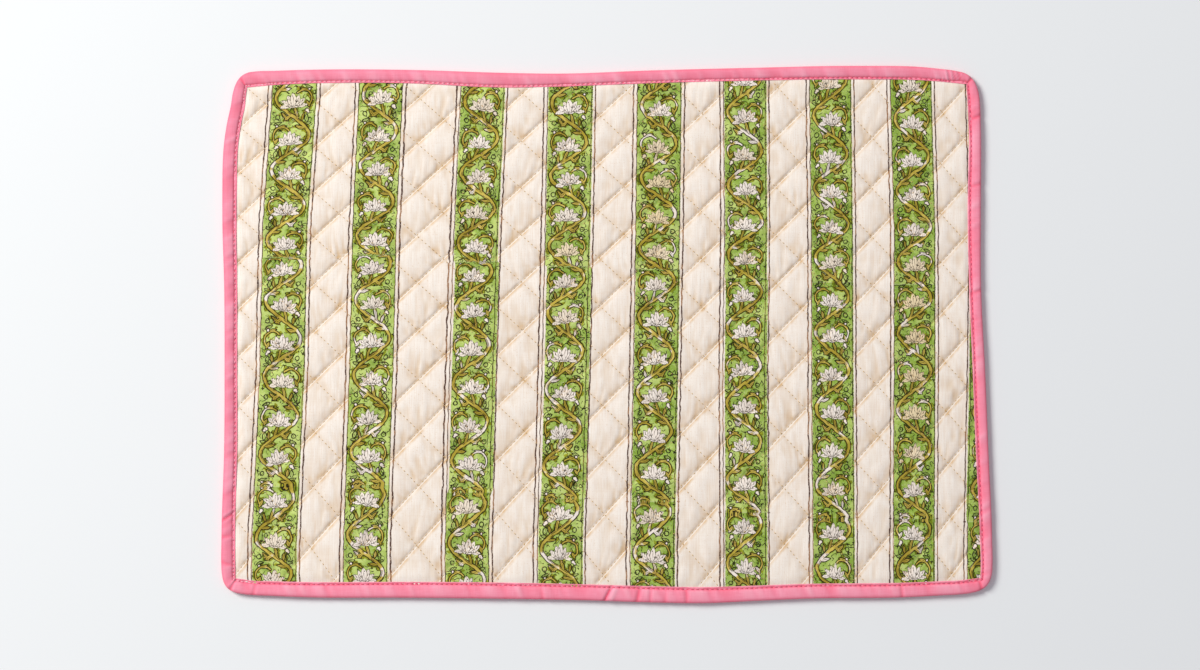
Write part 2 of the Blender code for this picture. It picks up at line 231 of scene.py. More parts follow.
# How a pattern or a distance turns into ink: its first and last value and, where they aren't 0 and 1,
# the results at both. Patterns lie round 0.5; distances are in mm and negative inside a shape.
TURN = SimpleNamespace(
    stray=(0.2, 0.8, -RAGGED_MM, RAGGED_MM),       # the ragged edge of all that is printed
    inked=(0.27, 0.42, 0.5, 1.0),                  # dark and brown ink where the block held little
    lean=(0.0, 1.0, -FLOWER_LEAN, FLOWER_LEAN),
    off_plants=(0.0, 0.1),                         # leaves drawn in outline stop at the olive ones
    vein=(INK_SOFT_MM, -INK_SOFT_MM),
    petal_vein=(INK_SOFT_MM, -INK_SOFT_MM, 0.0, 0.7),
    petal_dashes=(0.63, 0.68),                     # short strokes on the petals
    petal_breaks=(0.36, 0.44, 0.4, 1.0),           # places where their outlines are faint
    stem_shade=(0.28, 0.08),
    stem_shade_seen=(0.47, 0.53),
    curl=(0.065, 0.035),                           # fine curls between the plants, where seen
    curl_seen=(0.47, 0.50),
    curl_off_plants=(0.4, 0.7),
    slip=(0.35, 0.65, -SLIP_MM, SLIP_MM),
    olive_spread=(0.38, 0.62, 0.1, 1.55),          # how far the olive ink ran past its outlines
    olive_edge=(0.12, -0.12),
    olive_seen=(0.36, 0.42),
    off_blooms=(-0.1, 0.1),
    reserve=(0.3, 0.7, 0.35, -0.30),               # how much wider the plants' gap in the green is
    green_edge=(-0.1, 0.12),
    green_specks=(0.26, 0.40, 0.72, 1.0),
    green_joint=(0.1, 0.4, 0.8, 1.0),              # paler where two blocks meet
    mark=(1.1, 0.8),                               # register marks: width, height, part of the mat
    mark_joint=(0.55, 0.3),
    mark_seen=(13.0, 14.0),
    thread_tone=(0.42, 0.92),
    # Painted tan shade: its patches, its share in the folds and under the ink; and the tan specks.
    stain_patches=(0.35, 0.65, 0.4, 1.6),
    stain_folds=(0.0, 0.5, 0.0, 0.5),
    stain_specks=(0.66, 0.72, 0.0, 0.35),
    stain_under_ink=(0.0, 1.0, 1.0, 0.3),
    straw_chance=(0.75, 0.95, 0.0, 0.35),
    straw_inside=(0.1, -0.1, 0.0, 0.8),
    thicker_rightwards=(0.0, 8.0, -0.08, 0.14),    # from the first stripe to the last
    thicker_below=(-0.3, 0.3, -0.16, 0.14),        # on both sides of a joint
    near_joint=(JOINT_REACH_MM, 1.5),
    green_thick=(0.32, 0.70),
    olive_thick=(0.42, 0.62),
    brown_thin=(0.53, 0.62),
)
STROKES_PER_MM = (1.5, 0.55, 0)   # on the petals, across and along them
MOTTLE_SHARE = 0.25       # how much of the ink's unevenness is fine
LINE_BROKEN = 0.3         # how much of the ragged edge the brown lines have
LINE_SOFT_MM = SimpleNamespace(outside=0.12, inside=0.06)
STRIPE_END_MM = (OUTER_LINE_MM + 1.0, OUTER_LINE_MM + 0.7)    # nothing brown is printed further out
# How much tan shade is painted on the cloth beside the seams: what it is measured by, from where
# to where in mm, and how strong. The rows are the slope down to a rising seam, its shaded and its
# lit side, where the tan stands in for the groove's shadow, and both sides of a falling seam.
PaintedShade = namedtuple("PaintedShade", "measure start end strength")
PAINTED_SEAM_SHADES = (
    PaintedShade("by_rising", 3.2, 0.0, 0.25),
    PaintedShade("by_rising", DIAMOND_MM - 2.8, DIAMOND_MM - 0.6, 0.75),
    PaintedShade("by_rising", 12.0, 0.0, 0.22),
    PaintedShade("by_falling", 4.2, 0.0, 0.18),
)

# ---- finishes ----------------------------------------------------------------------------------
# How each cloth and thread takes the light, how far apart its threads are drawn and how strongly they
# stand out. The cloths' threads are twice as far apart as the real 0.3 mm: finer ones wouldn't show.
Finish = namedtuple("Finish", "roughness sheen thread_mm relief")
FINISHES = {
    # Plain-woven cotton under thin ink: matt all over, with its threads just showing.
    "block_printed_cotton": Finish(0.88, 0.12, 0.7, 0.35),
    # Unbleached sheeting: dull and dry, in uneven cream threads.
    "unbleached_cotton_backing": Finish(0.90, 0.10, 0.6, 0.40),
    # Soft dyed cotton strip: its nap pales where the cloth turns away from the eye.
    "pink_plain_weave_cotton": Finish(0.78, 0.60, 0.6, 0.40),
    # Spun sewing cotton: a soft light runs along the top of each stitch.
    "tan_cotton_thread": Finish(0.70, 0.20, 0.2, 0.40),
    # Smoother spun cotton: a narrow light on each stitch sets it off from the strip.
    "rose_cotton_thread": Finish(0.60, 0.20, 0.2, 0.40),
    # The same thread with a painted highlight, for the stitches that face the light.
    "pale_rose_cotton_thread": Finish(0.60, 0.20, 0.2, 0.40),
}
BOARD_ROUGHNESS = 0.90
SPECULAR = 0.2            # cotton and board throw back less light than smooth plastic does
THREAD_RELIEF_MM = 0.05
TOP_THREAD_LONG_MM = 14.0
LEVEL_SHARE = 0.35        # how much the printed cloth's level threads show beside the upright ones
THREAD_LONG = 12          # length of a thread's uneven stretches in other cloths, in thread widths
BROAD_MM = 50 / 3         # size of the paler and deeper patches of plain cotton
BROAD_SHARE = 1.6         # how much they show beside the threads
TONE = (0.65, 1.35)       # sum of threads and patches that is all deep, and all light
# how far a ridge stands up for its full painted highlight
RIDGE = (0.0, -0.5, 0.0, 0.5)

# ---- the binding -------------------------------------------------------------------------------
# Its outer face: place across the band and height in mm, from the inner edge of the under leg
# round the fold to the lip on top; then its lining back again.
Skin = namedtuple("Skin", "across height")
UNDER_SKIN = (
    Skin(1.00, 0.45), Skin(0.985, 0.12), Skin(0.96, 0.03), Skin(0.92, 0.00), Skin(0.88, 0.00),
    Skin(0.84, 0.00), Skin(0.79, 0.00), Skin(0.73, 0.00), Skin(0.60, 0.00), Skin(0.42, 0.02),
    Skin(0.22, 0.06), Skin(0.09, 0.25), Skin(0.025, 0.75),
)
TOP_SKIN = (
    Skin(0.00, 1.40), Skin(0.00, 2.15), Skin(0.012, 2.85), Skin(0.04, 3.42), Skin(0.085, 3.82),
    Skin(0.15, 4.06), Skin(0.24, 4.17), Skin(0.34, 4.20), Skin(0.44, 4.14), Skin(0.54, 4.03),
    Skin(0.63, 3.90), Skin(0.69, 3.77), Skin(0.74, 3.66), Skin(0.79, 3.56), Skin(0.83, 3.48),
    Skin(0.87, 3.42), Skin(0.90, 3.37), Skin(0.93, 3.32), Skin(0.957, 3.24), Skin(0.98, 3.12),
    Skin(0.995, 2.95), Skin(1.00, 2.80),
)
LINING = (Skin(0.97, 2.66), Skin(0.60, 2.62), Skin(0.16, 2.60), Skin(0.16, 0.85), Skin(0.97, 0.85))
BINDING_STEP_MM = 1.0
MERGE_MM = 0.005          # the strip's ends meet within this distance
UNDER_PULL_MM = 0.38      # how far the topstitching draws the under leg up
UNDER_VALLEY_MM = 0.9
VALLEY_MM = 0.75          # half the width of the valley along the stitches
PUCKER_REACH_MM = 2.2     # how far a stitch hole's pucker reaches, and how deep it still is there
PUCKER_SHARE = 0.35
PULL_UNEVEN = 0.25        # how unevenly the stitches pull, and over what length
PULL_MM = 5.0
RIPPLE_SLANT_MM = 4.0     # how far a ripple runs along the edge between the fold and the inner edge
Ripple = namedtuple("Ripple", "wavelength seed at_fold growth")
RIPPLES = (Ripple(3.1, 11, 0.3, 1.0), Ripple(9.0, 12, 0.4, 0.8))
UNEVEN_FROM_MM = 2.6      # height at which the strip's unevenness begins, and over what rise
UNEVEN_RISE_MM = 0.6
LIP_CALM = 0.85           # how much of it is gone at the lip
FOLD_MM = 0.8             # a fold this deep gets the full painted shade of the fold colour
SIDE_PAINTED_SHADE_MM = 0.7        # painted shade on the strip's outer side, as if it lay so deep in a fold
SIDE_ACROSS = 0.22
LIP_ACROSS = 0.90         # from here inwards the binding lies pressed on the printed cloth
# How far in from the inner edge the topstitching runs, on each side.
STITCH_INSET_MM = SimpleNamespace(right=1.6, top=1.0, left=1.4, bottom=1.45)
STITCH_WANDER_MM = 0.15   # how far it wanders to either side, and over what length
WANDER_MM = 40.0
# Directions from the mat's middle between which the inset stays, or turns into the next side's.
SIDE_TURNS_DEG = (-180, -149, -142, -38, -32, 32, 38, 142, 149, 180)
# A crease of the binding: a point on the mat's edge, how far it leans along the edge from the fold
# to the inner edge, its depth and width.
Crease = namedtuple("Crease", "x y lean depth width")
CREASES = (
    Crease(-1.8, -168.3, 5.4, 1.2, 0.8),
    Crease(2.4, -168.4, 3.6, -0.5, 1.6),
    Crease(18.6, -169.3, 2.4, 0.7, 1.1),
    Crease(27.0, -169.2, 0.8, 0.45, 1.0),
    Crease(36.5, -169.2, 0.6, 0.35, 1.4),
    Crease(50.0, -169.2, 0.3, 0.45, 1.0),
    Crease(-40.2, -168.0, -1.6, 0.4, 1.2),
    Crease(186.0, -166.5, -0.8, 0.6, 1.0),
    Crease(236.5, 138.0, -3.2, 0.8, 1.0),
    Crease(237.3, 28.0, -2.4, 0.6, 1.1),
    Crease(236.8, 95.0, -2.4, 0.6, 1.1),
    Crease(-241.0, -117.5, -6.0, 1.0, 1.0),
    Crease(-240.5, -128.0, -2.0, 0.5, 1.3),
    Crease(-241.5, -143.0, 3.0, 0.5, 1.2),
    Crease(-223.0, -166.5, 2.0, 0.45, 1.1),
    Crease(232.0, 163.5, 0.0, 0.9, 1.1),
    Crease(-233.0, 164.0, 0.0, 0.9, 1.1),
    Crease(-239.5, -164.5, 0.0, 0.9, 1.1),
    Crease(238.5, -165.0, 0.0, 0.9, 1.1),
)
# The mitres' inner corners, sharper than the solid's, and how far each of the seven sections of the
# binding at a corner moves towards it.
INNER_CORNERS_MM = ((235.2, -153.2), (226.2, 157.6), (-226.6, 155.6), (-233.8, -153.4))
CORNER_PULL = (0.0, 0.5, 0.87, 1.0, 0.87, 0.5, 0.0)
# Slanting puckers on the top side: from x to x, faded out at both ends.
TIGHT_RUN = SimpleNamespace(start=211.0, end=225.0, fade=3.0, pitch=3.3, depth=0.40, lean=2.0)

# ---- the threads -------------------------------------------------------------------------------
RUN_POINTS = 900          # points along which a seam's length is measured
SEAM_SHIFT = 0.37         # how much later the stitches of the next seam start, in pitches
STITCH_CLEAR_MM = 1.2     # stitches nearer the binding than this are hidden
STITCH_AIM_MM = 0.5       # a stitch points from so far behind its middle to so far ahead of it
# How far the thread's middle stands off the cloth, in the rising and in the falling seams.
TOP_LIFTS_MM = (0.02, 0.12)
BACK_LIFTS_MM = (-0.11, -0.11)
STRIP_LIFT_MM = 0.12
UNDER_LIFT_MM = 0.02      # room under the stitches on the underside
# The binding's thread has a painted highlight on the left side and the left part of the top side.
HIGHLIGHT_SIDE_MM = -222.0
HIGHLIGHT_TOP_MM = SimpleNamespace(above=150.0, left_of=90.0)

# ---- the stage ---------------------------------------------------------------------------------
PIXEL_MM = 0.6307         # one pixel of the 1200 x 670 photograph, on the mat
VIEW_CENTRE_MM = (-4.35, -0.3)
FRAME_PIXELS = 1200
LENS_MM = 85.0
SENSOR_MM = 36.0
LIGHT_FROM = Vector((-0.82, 0.57, 0.0))   # direction of the window light on the floor plan
FLOOR_M = 12.0            # side of the floor, which runs out of the frame all round
FLOOR_DROP_MM = 0.2       # room between the mat and the floor


def linear(hex_colour):
    """An sRGB hex colour as linear red, green and blue."""
    parts = [int(hex_colour[i:i + 2], 16) / 255 for i in (1, 3, 5)]
    return tuple(c / 12.92 if c <= 0.04045 else ((c + 0.055) / 1.055) ** 2.4 for c in parts)


def smooth(t):
    """A soft step from 0 to 1."""
    t = np.clip(t, 0, 1)
    return t * t * (3 - 2 * t)


def bell(distance, width):
    """A soft bump, 1 in its middle."""
    return np.exp(-(distance / width) ** 2)


def soft_noise(at, seed, count=256):
    """Smooth random numbers from -1 to 1 along a line, one knot to a unit, over again after count."""
    knots = np.random.default_rng(seed).uniform(-1, 1, count)
    i = np.floor(at).astype(int)
    t = smooth(at - i)
    return knots[i % count] * (1 - t) + knots[(i + 1) % count] * t


def plane_noise(u, v, seed, count=128):
    """Smooth random numbers from -1 to 1 over a plane, one knot to a unit, over again after count."""
    knots = np.random.default_rng(seed).uniform(-1, 1, (count, count))
    i, j = np.floor(u).astype(int), np.floor(v).astype(int)
    s, t = smooth(u - i), smooth(v - j)
    near, far = (knots[i % count, row % count] * (1 - s) + knots[(i + 1) % count, row % count] * s
                 for row in (j, j + 1))
    return near * (1 - t) + far * t


# ---- outline -----------------------------------------------------------------------------------
def cad_stations():
    """Outer and inner edge points of the binding's sections, anticlockwise, in mm."""
    corners = np.array([v.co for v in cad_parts["edge_binding"].data.vertices]) / MM
    corners = np.unique(corners.round(3), axis=0)
    outer = corners[np.abs(corners[:, 2] - OUTER_FOLD_MM) < SAME_HEIGHT_MM][:, :2]
    under = corners[np.abs(corners[:, 2]) < SAME_HEIGHT_MM][:, :2]
    outer = outer[np.argsort(np.arctan2(outer[:, 1], outer[:, 0]))]
    apart = np.linalg.norm(outer[:, None] - under[None], axis=2)
    nearest = under[apart.argmin(axis=1)]
    return outer, outer + (nearest - outer) / UNDER_LEG_START


def sharpened(inner):
    """The inner edge with its four corners drawn out to the mitres."""
    inner = inner.copy()
    reach = len(CORNER_PULL) // 2
    for corner in np.array(INNER_CORNERS_MM):
        middle = np.linalg.norm(inner - corner, axis=1).argmin()
        ends = inner[middle - reach], inner[middle + reach]
        for step, pull in enumerate(CORNER_PULL):
            end = ends[step > reach]
            inner[middle - reach + step] = end + (corner - end) * pull
    return inner


OUTER, INNER = cad_stations()
INNER = sharpened(INNER)
KNOTS = np.concatenate(([0.0], np.cumsum(np.linalg.norm(np.roll(OUTER, -1, axis=0) - OUTER, axis=1))))
ROUND_MM = KNOTS[-1]      # length of the mat's outer edge


def closed_curve(values, places):
    """A smooth closed curve through values at KNOTS, read at places round the edge."""
    span = np.diff(KNOTS)
    ahead = (np.roll(values, -1, axis=0) - values) / span[:, None]
    behind = np.roll(ahead, 1, axis=0)
    share = (span / (span + np.roll(span, 1)))[:, None]
    slopes = behind * share + ahead * (1 - share)
    places = places % ROUND_MM
    i = np.clip(np.searchsorted(KNOTS, places, side="right") - 1, 0, len(values) - 1)
    j = (i + 1) % len(values)
    t = ((places - KNOTS[i]) / span[i])[:, None]
    h = span[i][:, None]
    start = (2 * t**3 - 3 * t**2 + 1) * values[i] + (t**3 - 2 * t**2 + t) * h * slopes[i]
    return start + (3 * t**2 - 2 * t**3) * values[j] + (t**3 - t**2) * h * slopes[j]


def band_point(places, across):
    """Points at places round the edge and a share across the band, 0 the fold and 1 the inner edge."""
    outer, inner = closed_curve(OUTER, places), closed_curve(INNER, places)
    return outer + np.reshape(across, (-1, 1)) * (inner - outer)


def band_width(places):
    """Width of the binding at places round the edge, in mm."""
    return np.linalg.norm(closed_curve(INNER, places) - closed_curve(OUTER, places), axis=1)


class Border:
    """A closed line round the mat: which points lie inside it, how far in, and the nearest on it."""

    def __init__(self, across):
        self.places = np.arange(0, ROUND_MM, BORDER_STEP_MM)
        self.points = band_point(self.places, np.full(len(self.places), across))
        angle = np.arctan2(self.points[:, 1], self.points[:, 0])
        order = np.argsort(angle)
        reach = np.linalg.norm(self.points, axis=1)[order]
        angle = angle[order]
        self.angle = np.concatenate((angle[-1:] - 2 * math.pi, angle, angle[:1] + 2 * math.pi))
        self.reach = np.concatenate((reach[-1:], reach, reach[:1]))
        self.tree = KDTree(len(self.points))
        for number, (x, y) in enumerate(self.points):
            self.tree.insert((x, y, 0.0), number)
        self.tree.balance()

    def room(self, xy):
        """How much further out along its own radius each point could move, in mm."""
        angle = np.arctan2(xy[:, 1], xy[:, 0])
        return np.interp(angle, self.angle, self.reach) - np.linalg.norm(xy, axis=1)

    def nearest(self, xy):
        """The number of the border's closest point to each point."""
        return [self.tree.find((x, y, 0.0))[1] for x, y in xy]

    def depth(self, xy):
        """Distance in from the border, up to a limit; negative outside."""
        room = self.room(xy)
        depth = np.clip(room, -DEPTH_LIMIT_MM, DEPTH_LIMIT_MM)
        for i in np.flatnonzero(np.abs(room) < 2 * DEPTH_LIMIT_MM):
            far = self.tree.find((xy[i, 0], xy[i, 1], 0.0))[2]
            depth[i] = math.copysign(min(far, DEPTH_LIMIT_MM), room[i])
        return depth


def edge_noise(places, wavelength, seed):
    """Smooth random numbers from -1 to 1 along the closed edge."""
    count = round(ROUND_MM / wavelength)
    return soft_noise((places % ROUND_MM) / ROUND_MM * count, seed, count)


# ---- quilting ----------------------------------------------------------------------------------
def line_numbers(xy):
    """Numbers of the rising and falling lines through points; whole numbers are sewn lines."""
    u, v = xy[..., 0] / QUILT_UNIT_MM, xy[..., 1] / QUILT_UNIT_MM
    numbers = [sum(t.lines * u**t.i * v**t.j for t in family) for family in (RISING, FALLING)]
    return np.stack(numbers, axis=-1)


def crossings(wanted):
    """Points at which a rising and a falling line of the wanted numbers meet."""
    centre = line_numbers(np.zeros(2))
    straight = np.array([
        [next(t.lines for t in family if (t.i, t.j) == power) for power in ((1, 0), (0, 1))]
        for family in (RISING, FALLING)
    ])
    xy = (wanted - centre) @ np.linalg.inv(straight).T * QUILT_UNIT_MM
    for _ in range(NEWTON_STEPS):
        here = line_numbers(xy)
        slope = [(line_numbers(xy + np.eye(2)[axis] * NEWTON_NUDGE_MM) - here) / NEWTON_NUDGE_MM
                 for axis in range(2)]
        (a, c), (b, d) = ((s[..., 0], s[..., 1]) for s in slope)
        miss = wanted - here
        move = d * miss[..., 0] - b * miss[..., 1], a * miss[..., 1] - c * miss[..., 0]
        move = np.stack(move, axis=-1) / (a * d - b * c)[..., None]
        xy = xy + np.clip(move, -NEWTON_REACH_MM, NEWTON_REACH_MM)
    return xy


def per_diamond(lines, count, seed):
    """Random numbers from 0 to 1 that belong to the diamond that each point lies in."""
    table = np.random.default_rng(seed).random((DIAMOND_TABLE, DIAMOND_TABLE, count))
    cell = np.clip(np.floor(lines).astype(int) + DIAMOND_TABLE // 2, 0, DIAMOND_TABLE - 1)
    return table[cell[:, 0], cell[:, 1]]


def rise(share, steepness):
    """From 0 on a seam to 1 half-way to the next; the smaller the steepness, the flatter the top."""
    return (4 * share * (1 - share)) ** steepness


def freed(depth):
    """From 0 where the binding holds the cloth to 1 where it is free of it."""
    return smooth((depth - PRESSED_FROM_MM) / PRESSED_MM)


def top_heights(xy, depth, quilt):
    """Heights of the printed cloth in mm: puffs, their wrinkles and the press of the binding."""
    lines = line_numbers(xy)
    share = lines % 1.0
    swell, fold_start, fold_depth, fold_lean = per_diamond(lines, 4, seed=5).T
    rising = rise(share[:, 0], quilt.steepness)
    falling = rise(share[:, 1], quilt.steepness + FALLING_STEEPER)
    puff = rising * (1 - quilt.falling_share * (1 - falling)) * (LEAST_SWELL + (1 - LEAST_SWELL) * swell)
    height = quilt.seam_height + (quilt.puff_height - quilt.seam_height) * puff
    height += quilt.saddle_rise * falling * (1 - rising)
    x, y = xy.T
    fold_across = (x + (2 * fold_lean - 1) * FOLD_LEAN * y) / FOLD_ACROSS_MM
    folds = plane_noise(fold_across, y / FOLD_ALONG_MM + FOLD_SHIFT * fold_start, seed=17)
    gathered = (1 + smooth((share[:, 0] - GATHERED.start) / GATHERED.width)) / 2
    faded = smooth(share[:, 0] / FOLD_FADE.past_rising)
    faded *= smooth((1 - share[:, 0]) / FOLD_FADE.before_rising)
    faded *= smooth(share[:, 1] / FOLD_FADE.past_falling)
    height -= quilt.wrinkle_depth * folds * faded * gathered * (LEAST_FOLD + (1 - LEAST_FOLD) * fold_depth)
    height += quilt.lumps * plane_noise(x / LUMP_MM, y / LUMP_MM, seed=18) * rising
    height += quilt.puckers * plane_noise(x / PUCKER_MM, y / PUCKER_MM, seed=19) * (1 - rising)
    return RIM_TOP_MM + (height - RIM_TOP_MM) * freed(depth)


def back_heights(xy, depth, quilt):
    """Heights of the plain backing in mm, dimpled up along the seams and lifted over the binding."""
    puff = np.prod(rise(line_numbers(xy) % 1.0, BACK_STEEPNESS), axis=1)
    dimple = quilt.back_dimple * (1 - puff) * freed(depth)
    return BACK_BASE_MM + dimple + TUCKED_MM * smooth((PRESSED_MM - depth) / TUCK_WIDTH_MM)


# ---- print places ------------------------------------------------------------------------------
def rows_down(y, stripe):
    """The row of flowers at each height, as a real number, its placing and its place under the joint."""
    gaps = [gap or stripe.joint_gap for gap in ROW_GAPS_MM]
    flowers = stripe.first - np.concatenate(([0.0], np.cumsum(gaps)))
    knots = [(height, row) for row, height in enumerate(flowers)]
    knots.append((flowers[0] + ROWS_BEYOND * ROW_MM, -ROWS_BEYOND))
    knots.append((flowers[-1] - ROWS_BEYOND * ROW_MM, len(gaps) + ROWS_BEYOND))
    placing, under = 0, np.full(len(y), np.inf)
    for row, share in JOINTS:
        joint = flowers[row] - gaps[row] * share
        start = joint - JOINT_BAND_MM
        knots.append((joint, row + gaps[row] * share / ROW_MM))
        knots.append((start, row + 1 - (start - flowers[row + 1]) / ROW_MM))
        placing = placing + (y < joint)
        under = np.where(np.abs(joint - y) < np.abs(under), joint - y, under)
    heights, rows = np.array(sorted(knots, reverse=True)).T
    return np.interp(-y, -heights, rows), placing, np.clip(under, -JOINT_REACH_MM, JOINT_REACH_MM)


def print_places(xy):
    """For each point: place across the stripes, flower row, green block's shift, place under a joint."""
    x, y = xy[:, 0], xy[:, 1]
    anchors, values = [], []
    for number, stripe in enumerate(STRIPES):
        middle = np.interp(y, STRIPE_HEIGHTS, (stripe.bottom, stripe.lower, stripe.upper, stripe.top))
        row, placing, under = rows_down(y, stripe)
        shift = np.array((stripe.shift_up, stripe.shift_mid, stripe.shift_low))[placing]
        for side in (-1, 1):
            anchors.append(middle + side * stripe.half)
            across = np.full(len(x), number + side * OUTER_LINE_MM / PITCH_MM)
            values.append(np.column_stack((across, row, shift, under)))
    places = values[0] - np.outer(anchors[0] - x, (1 / PITCH_MM, 0, 0, 0))
    for i in range(len(anchors) - 1):
        t = (x - anchors[i]) / (anchors[i + 1] - anchors[i])
        blend = np.column_stack((t, smooth(t), smooth(t), smooth(t)))
        places = np.where((t >= 0)[:, None], values[i] + blend * (values[i + 1] - values[i]), places)
    return places


# ---- mesh helpers ------------------------------------------------------------------------------
def deselect():
    """Leave nothing selected, in object mode."""
    if bpy.context.object and bpy.context.object.mode != "OBJECT":
        bpy.ops.object.mode_set(mode="OBJECT")
    bpy.ops.object.select_all(action="DESELECT")


def coordinates(obj):
    """An object's vertex places in mm, as an array."""
    co = np.empty(len(obj.data.vertices) * 3, np.float32)
    obj.data.vertices.foreach_get("co", co)
    return co.reshape(-1, 3).astype(float) / MM


def place_vertices(obj, places_mm):
    """Move an object's vertices to places in mm."""
    obj.data.vertices.foreach_set("co", (places_mm * MM).astype(np.float32).ravel())
    obj.data.update()


def corner_vertices(obj):
    """The vertex number of every face corner."""
    corner = np.empty(len(obj.data.loops), np.int32)
    obj.data.loops.foreach_get("vertex_index", corner)
    return corner


def whole_faces(obj, chosen_corners):
    """Which faces have all of their corners chosen, and how many corners each face has."""
    starts, totals = (np.empty(len(obj.data.polygons), np.int32) for _ in range(2))
    obj.data.polygons.foreach_get("loop_start", starts)
    obj.data.polygons.foreach_get("loop_total", totals)
    return np.logical_and.reduceat(chosen_corners, starts), totals


def select_vertices(obj, chosen):
    """Select the chosen vertices alone, with the edges and faces between them."""
    mesh = obj.data
    mesh.vertices.foreach_set("select", chosen)
    ends = np.empty(len(mesh.edges) * 2, np.int32)
    mesh.edges.foreach_get("vertices", ends)
    mesh.edges.foreach_set("select", chosen[ends.reshape(-1, 2)].all(axis=1))
    mesh.polygons.foreach_set("select", whole_faces(obj, chosen[corner_vertices(obj)])[0])


def write_attribute(obj, name, values):
    """Give every vertex a vector."""
    attribute = obj.data.attributes.new(name, "FLOAT_VECTOR", "POINT")
    attribute.data.foreach_set("vector", values.astype(np.float32).ravel())


def write_fold(obj, sunk_mm):
    """Note how far each vertex has sunk into a fold, as a share of a full fold."""
    share = np.clip(sunk_mm / FOLD_MM, -1, 1)
    write_attribute(obj, "fold", np.column_stack((share, share, share)))


def grid(name, columns, rows):
    """A flat grid to be shaped, with the share along both of its sides at each vertex."""
    deselect()
    bpy.ops.mesh.primitive_grid_add(x_subdivisions=columns, y_subdivisions=rows, size=2)
    obj = bpy.context.object
    obj.name = obj.data.name = name
    return obj, (coordinates(obj)[:, :2] * MM + 1) / 2


def close_up(*steps):
    """Run edit-mode steps on the object in hand, then point its faces outwards."""
    bpy.ops.object.mode_set(mode="EDIT")
    for step in steps:
        step()
    bpy.ops.mesh.select_all(action="SELECT")
    bpy.ops.mesh.normals_make_consistent(inside=False)
    bpy.ops.object.mode_set(mode="OBJECT")


def finish_piece(obj, material, slot, *nodes):
    """Give a piece its material and body, and hide the nodes that it stands for; its slot is not used."""
    obj.data.materials.clear()
    obj.data.materials.append(material)
    obj.data.shade_smooth()
    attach(obj, "root")
    if nodes:
        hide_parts(*nodes)


def millimetres(sizes):
    """The sizes of a property group as plain numbers, lengths in mm."""
    plain = SimpleNamespace()
    for name in sizes.__annotations__:
        unit = MM if sizes.bl_rna.properties[name].unit == "LENGTH" else 1
        setattr(plain, name, getattr(sizes, name) / unit)
    return plain


def trimmed(cloth, xy, rim):
    """Cut a cloth's grid, laid out at xy, to the rim; return where its vertices then lie."""
    quads = corner_vertices(cloth).reshape(-1, 4)
    inside = (rim.room(xy)[quads] > 0).all(axis=1)
    around = np.bincount(quads[inside].ravel(), minlength=len(xy))
    edge = (around > 0) & (around < 4)
    xy[edge] = rim.points[rim.nearest(xy[edge])]
    place_vertices(cloth, np.column_stack((xy, np.zeros(len(xy)))))
    select_vertices(cloth, around == 0)
    bpy.ops.object.mode_set(mode="EDIT")
    bpy.ops.mesh.delete(type="VERT")
    bpy.ops.object.mode_set(mode="OBJECT")
    return coordinates(cloth)[:, :2]


def note_places(cloth, xy):
    """Note at each vertex where it lies beside the seams, under a joint of blocks and in the print."""
    lines, places = line_numbers(xy), print_places(xy)
    to_rising = ((ON_SEAM - lines[:, 0]) % 1.0 - ON_SEAM) * DIAMOND_MM
    from_falling = np.abs(lines[:, 1] - np.rint(lines[:, 1])) * DIAMOND_MM
    write_attribute(cloth, "seam", np.column_stack((to_rising, from_falling, places[:, 3])))
    write_attribute(cloth, "print_place", places[:, :3])


def flat_side(cloth, height_mm):
    """Draw a cloth's edge up or down to a flat hidden side and close that."""
    shown_count = len(cloth.data.vertices)
    bpy.ops.object.mode_set(mode="EDIT")
    bpy.ops.mesh.select_all(action="DESELECT")
    bpy.ops.mesh.select_mode(type="EDGE")
    bpy.ops.mesh.select_non_manifold()
    bpy.ops.mesh.extrude_region_move()
    bpy.ops.object.mode_set(mode="OBJECT")
    co = coordinates(cloth)
    co[shown_count:, 2] = height_mm
    place_vertices(cloth, co)
    close_up(bpy.ops.mesh.edge_face_add, partial(bpy.ops.mesh.quads_convert_to_tris, ngon_method="CLIP"))


def quilted_cloth(name, cells, heights, flat_side_mm, quilt):
    """One cloth of the panel: rows of cells that follow the seams, cut to the rim and closed."""
    rim = Border(RIM_ACROSS)
    numbers = line_numbers(rim.points)
    low, high = np.floor(numbers.min(axis=0)), np.ceil(numbers.max(axis=0))
    columns, rows = ((high - low) * cells).astype(int)
    cloth, share = grid(name, columns, rows)
    lines = low + share * (high - low)
    lines = lines - SEAM_CROWDING / (2 * math.pi) * np.sin(2 * math.pi * lines)
    xy = trimmed(cloth, crossings(lines), rim)
    depth = Border(1.0).depth(xy)
    height = heights(xy, depth, quilt)
    even = SimpleNamespace(**{**vars(quilt), "wrinkle_depth": 0.0, "lumps": 0.0, "puckers": 0.0})
    place_vertices(cloth, np.column_stack((xy, height)))
    write_fold(cloth, heights(xy, depth, even) - height)
    note_places(cloth, xy)
    flat_side(cloth, flat_side_mm)
    return cloth, len(xy)


def spread_map(obj, shown_count):
    """A bake map that lays the shown side out flat and tucks the hidden side along its foot."""
    co = coordinates(obj)[:, :2]
    low, high = co.min(axis=0), co.max(axis=0)
    corner = corner_vertices(obj)
    shown = np.repeat(*whole_faces(obj, corner < shown_count))
    u, v = ((co - low) / (high - low))[corner].T
    start, size = np.where(shown, np.array([MAP_SHOWN]).T, np.array([MAP_HIDDEN]).T)
    uv = np.column_stack((MAP_ACROSS[0] + MAP_ACROSS[1] * u, start + size * v))
    layer = obj.data.uv_layers.new(name="OFBake")
    layer.data.foreach_set("uv", uv.astype(np.float32).ravel())


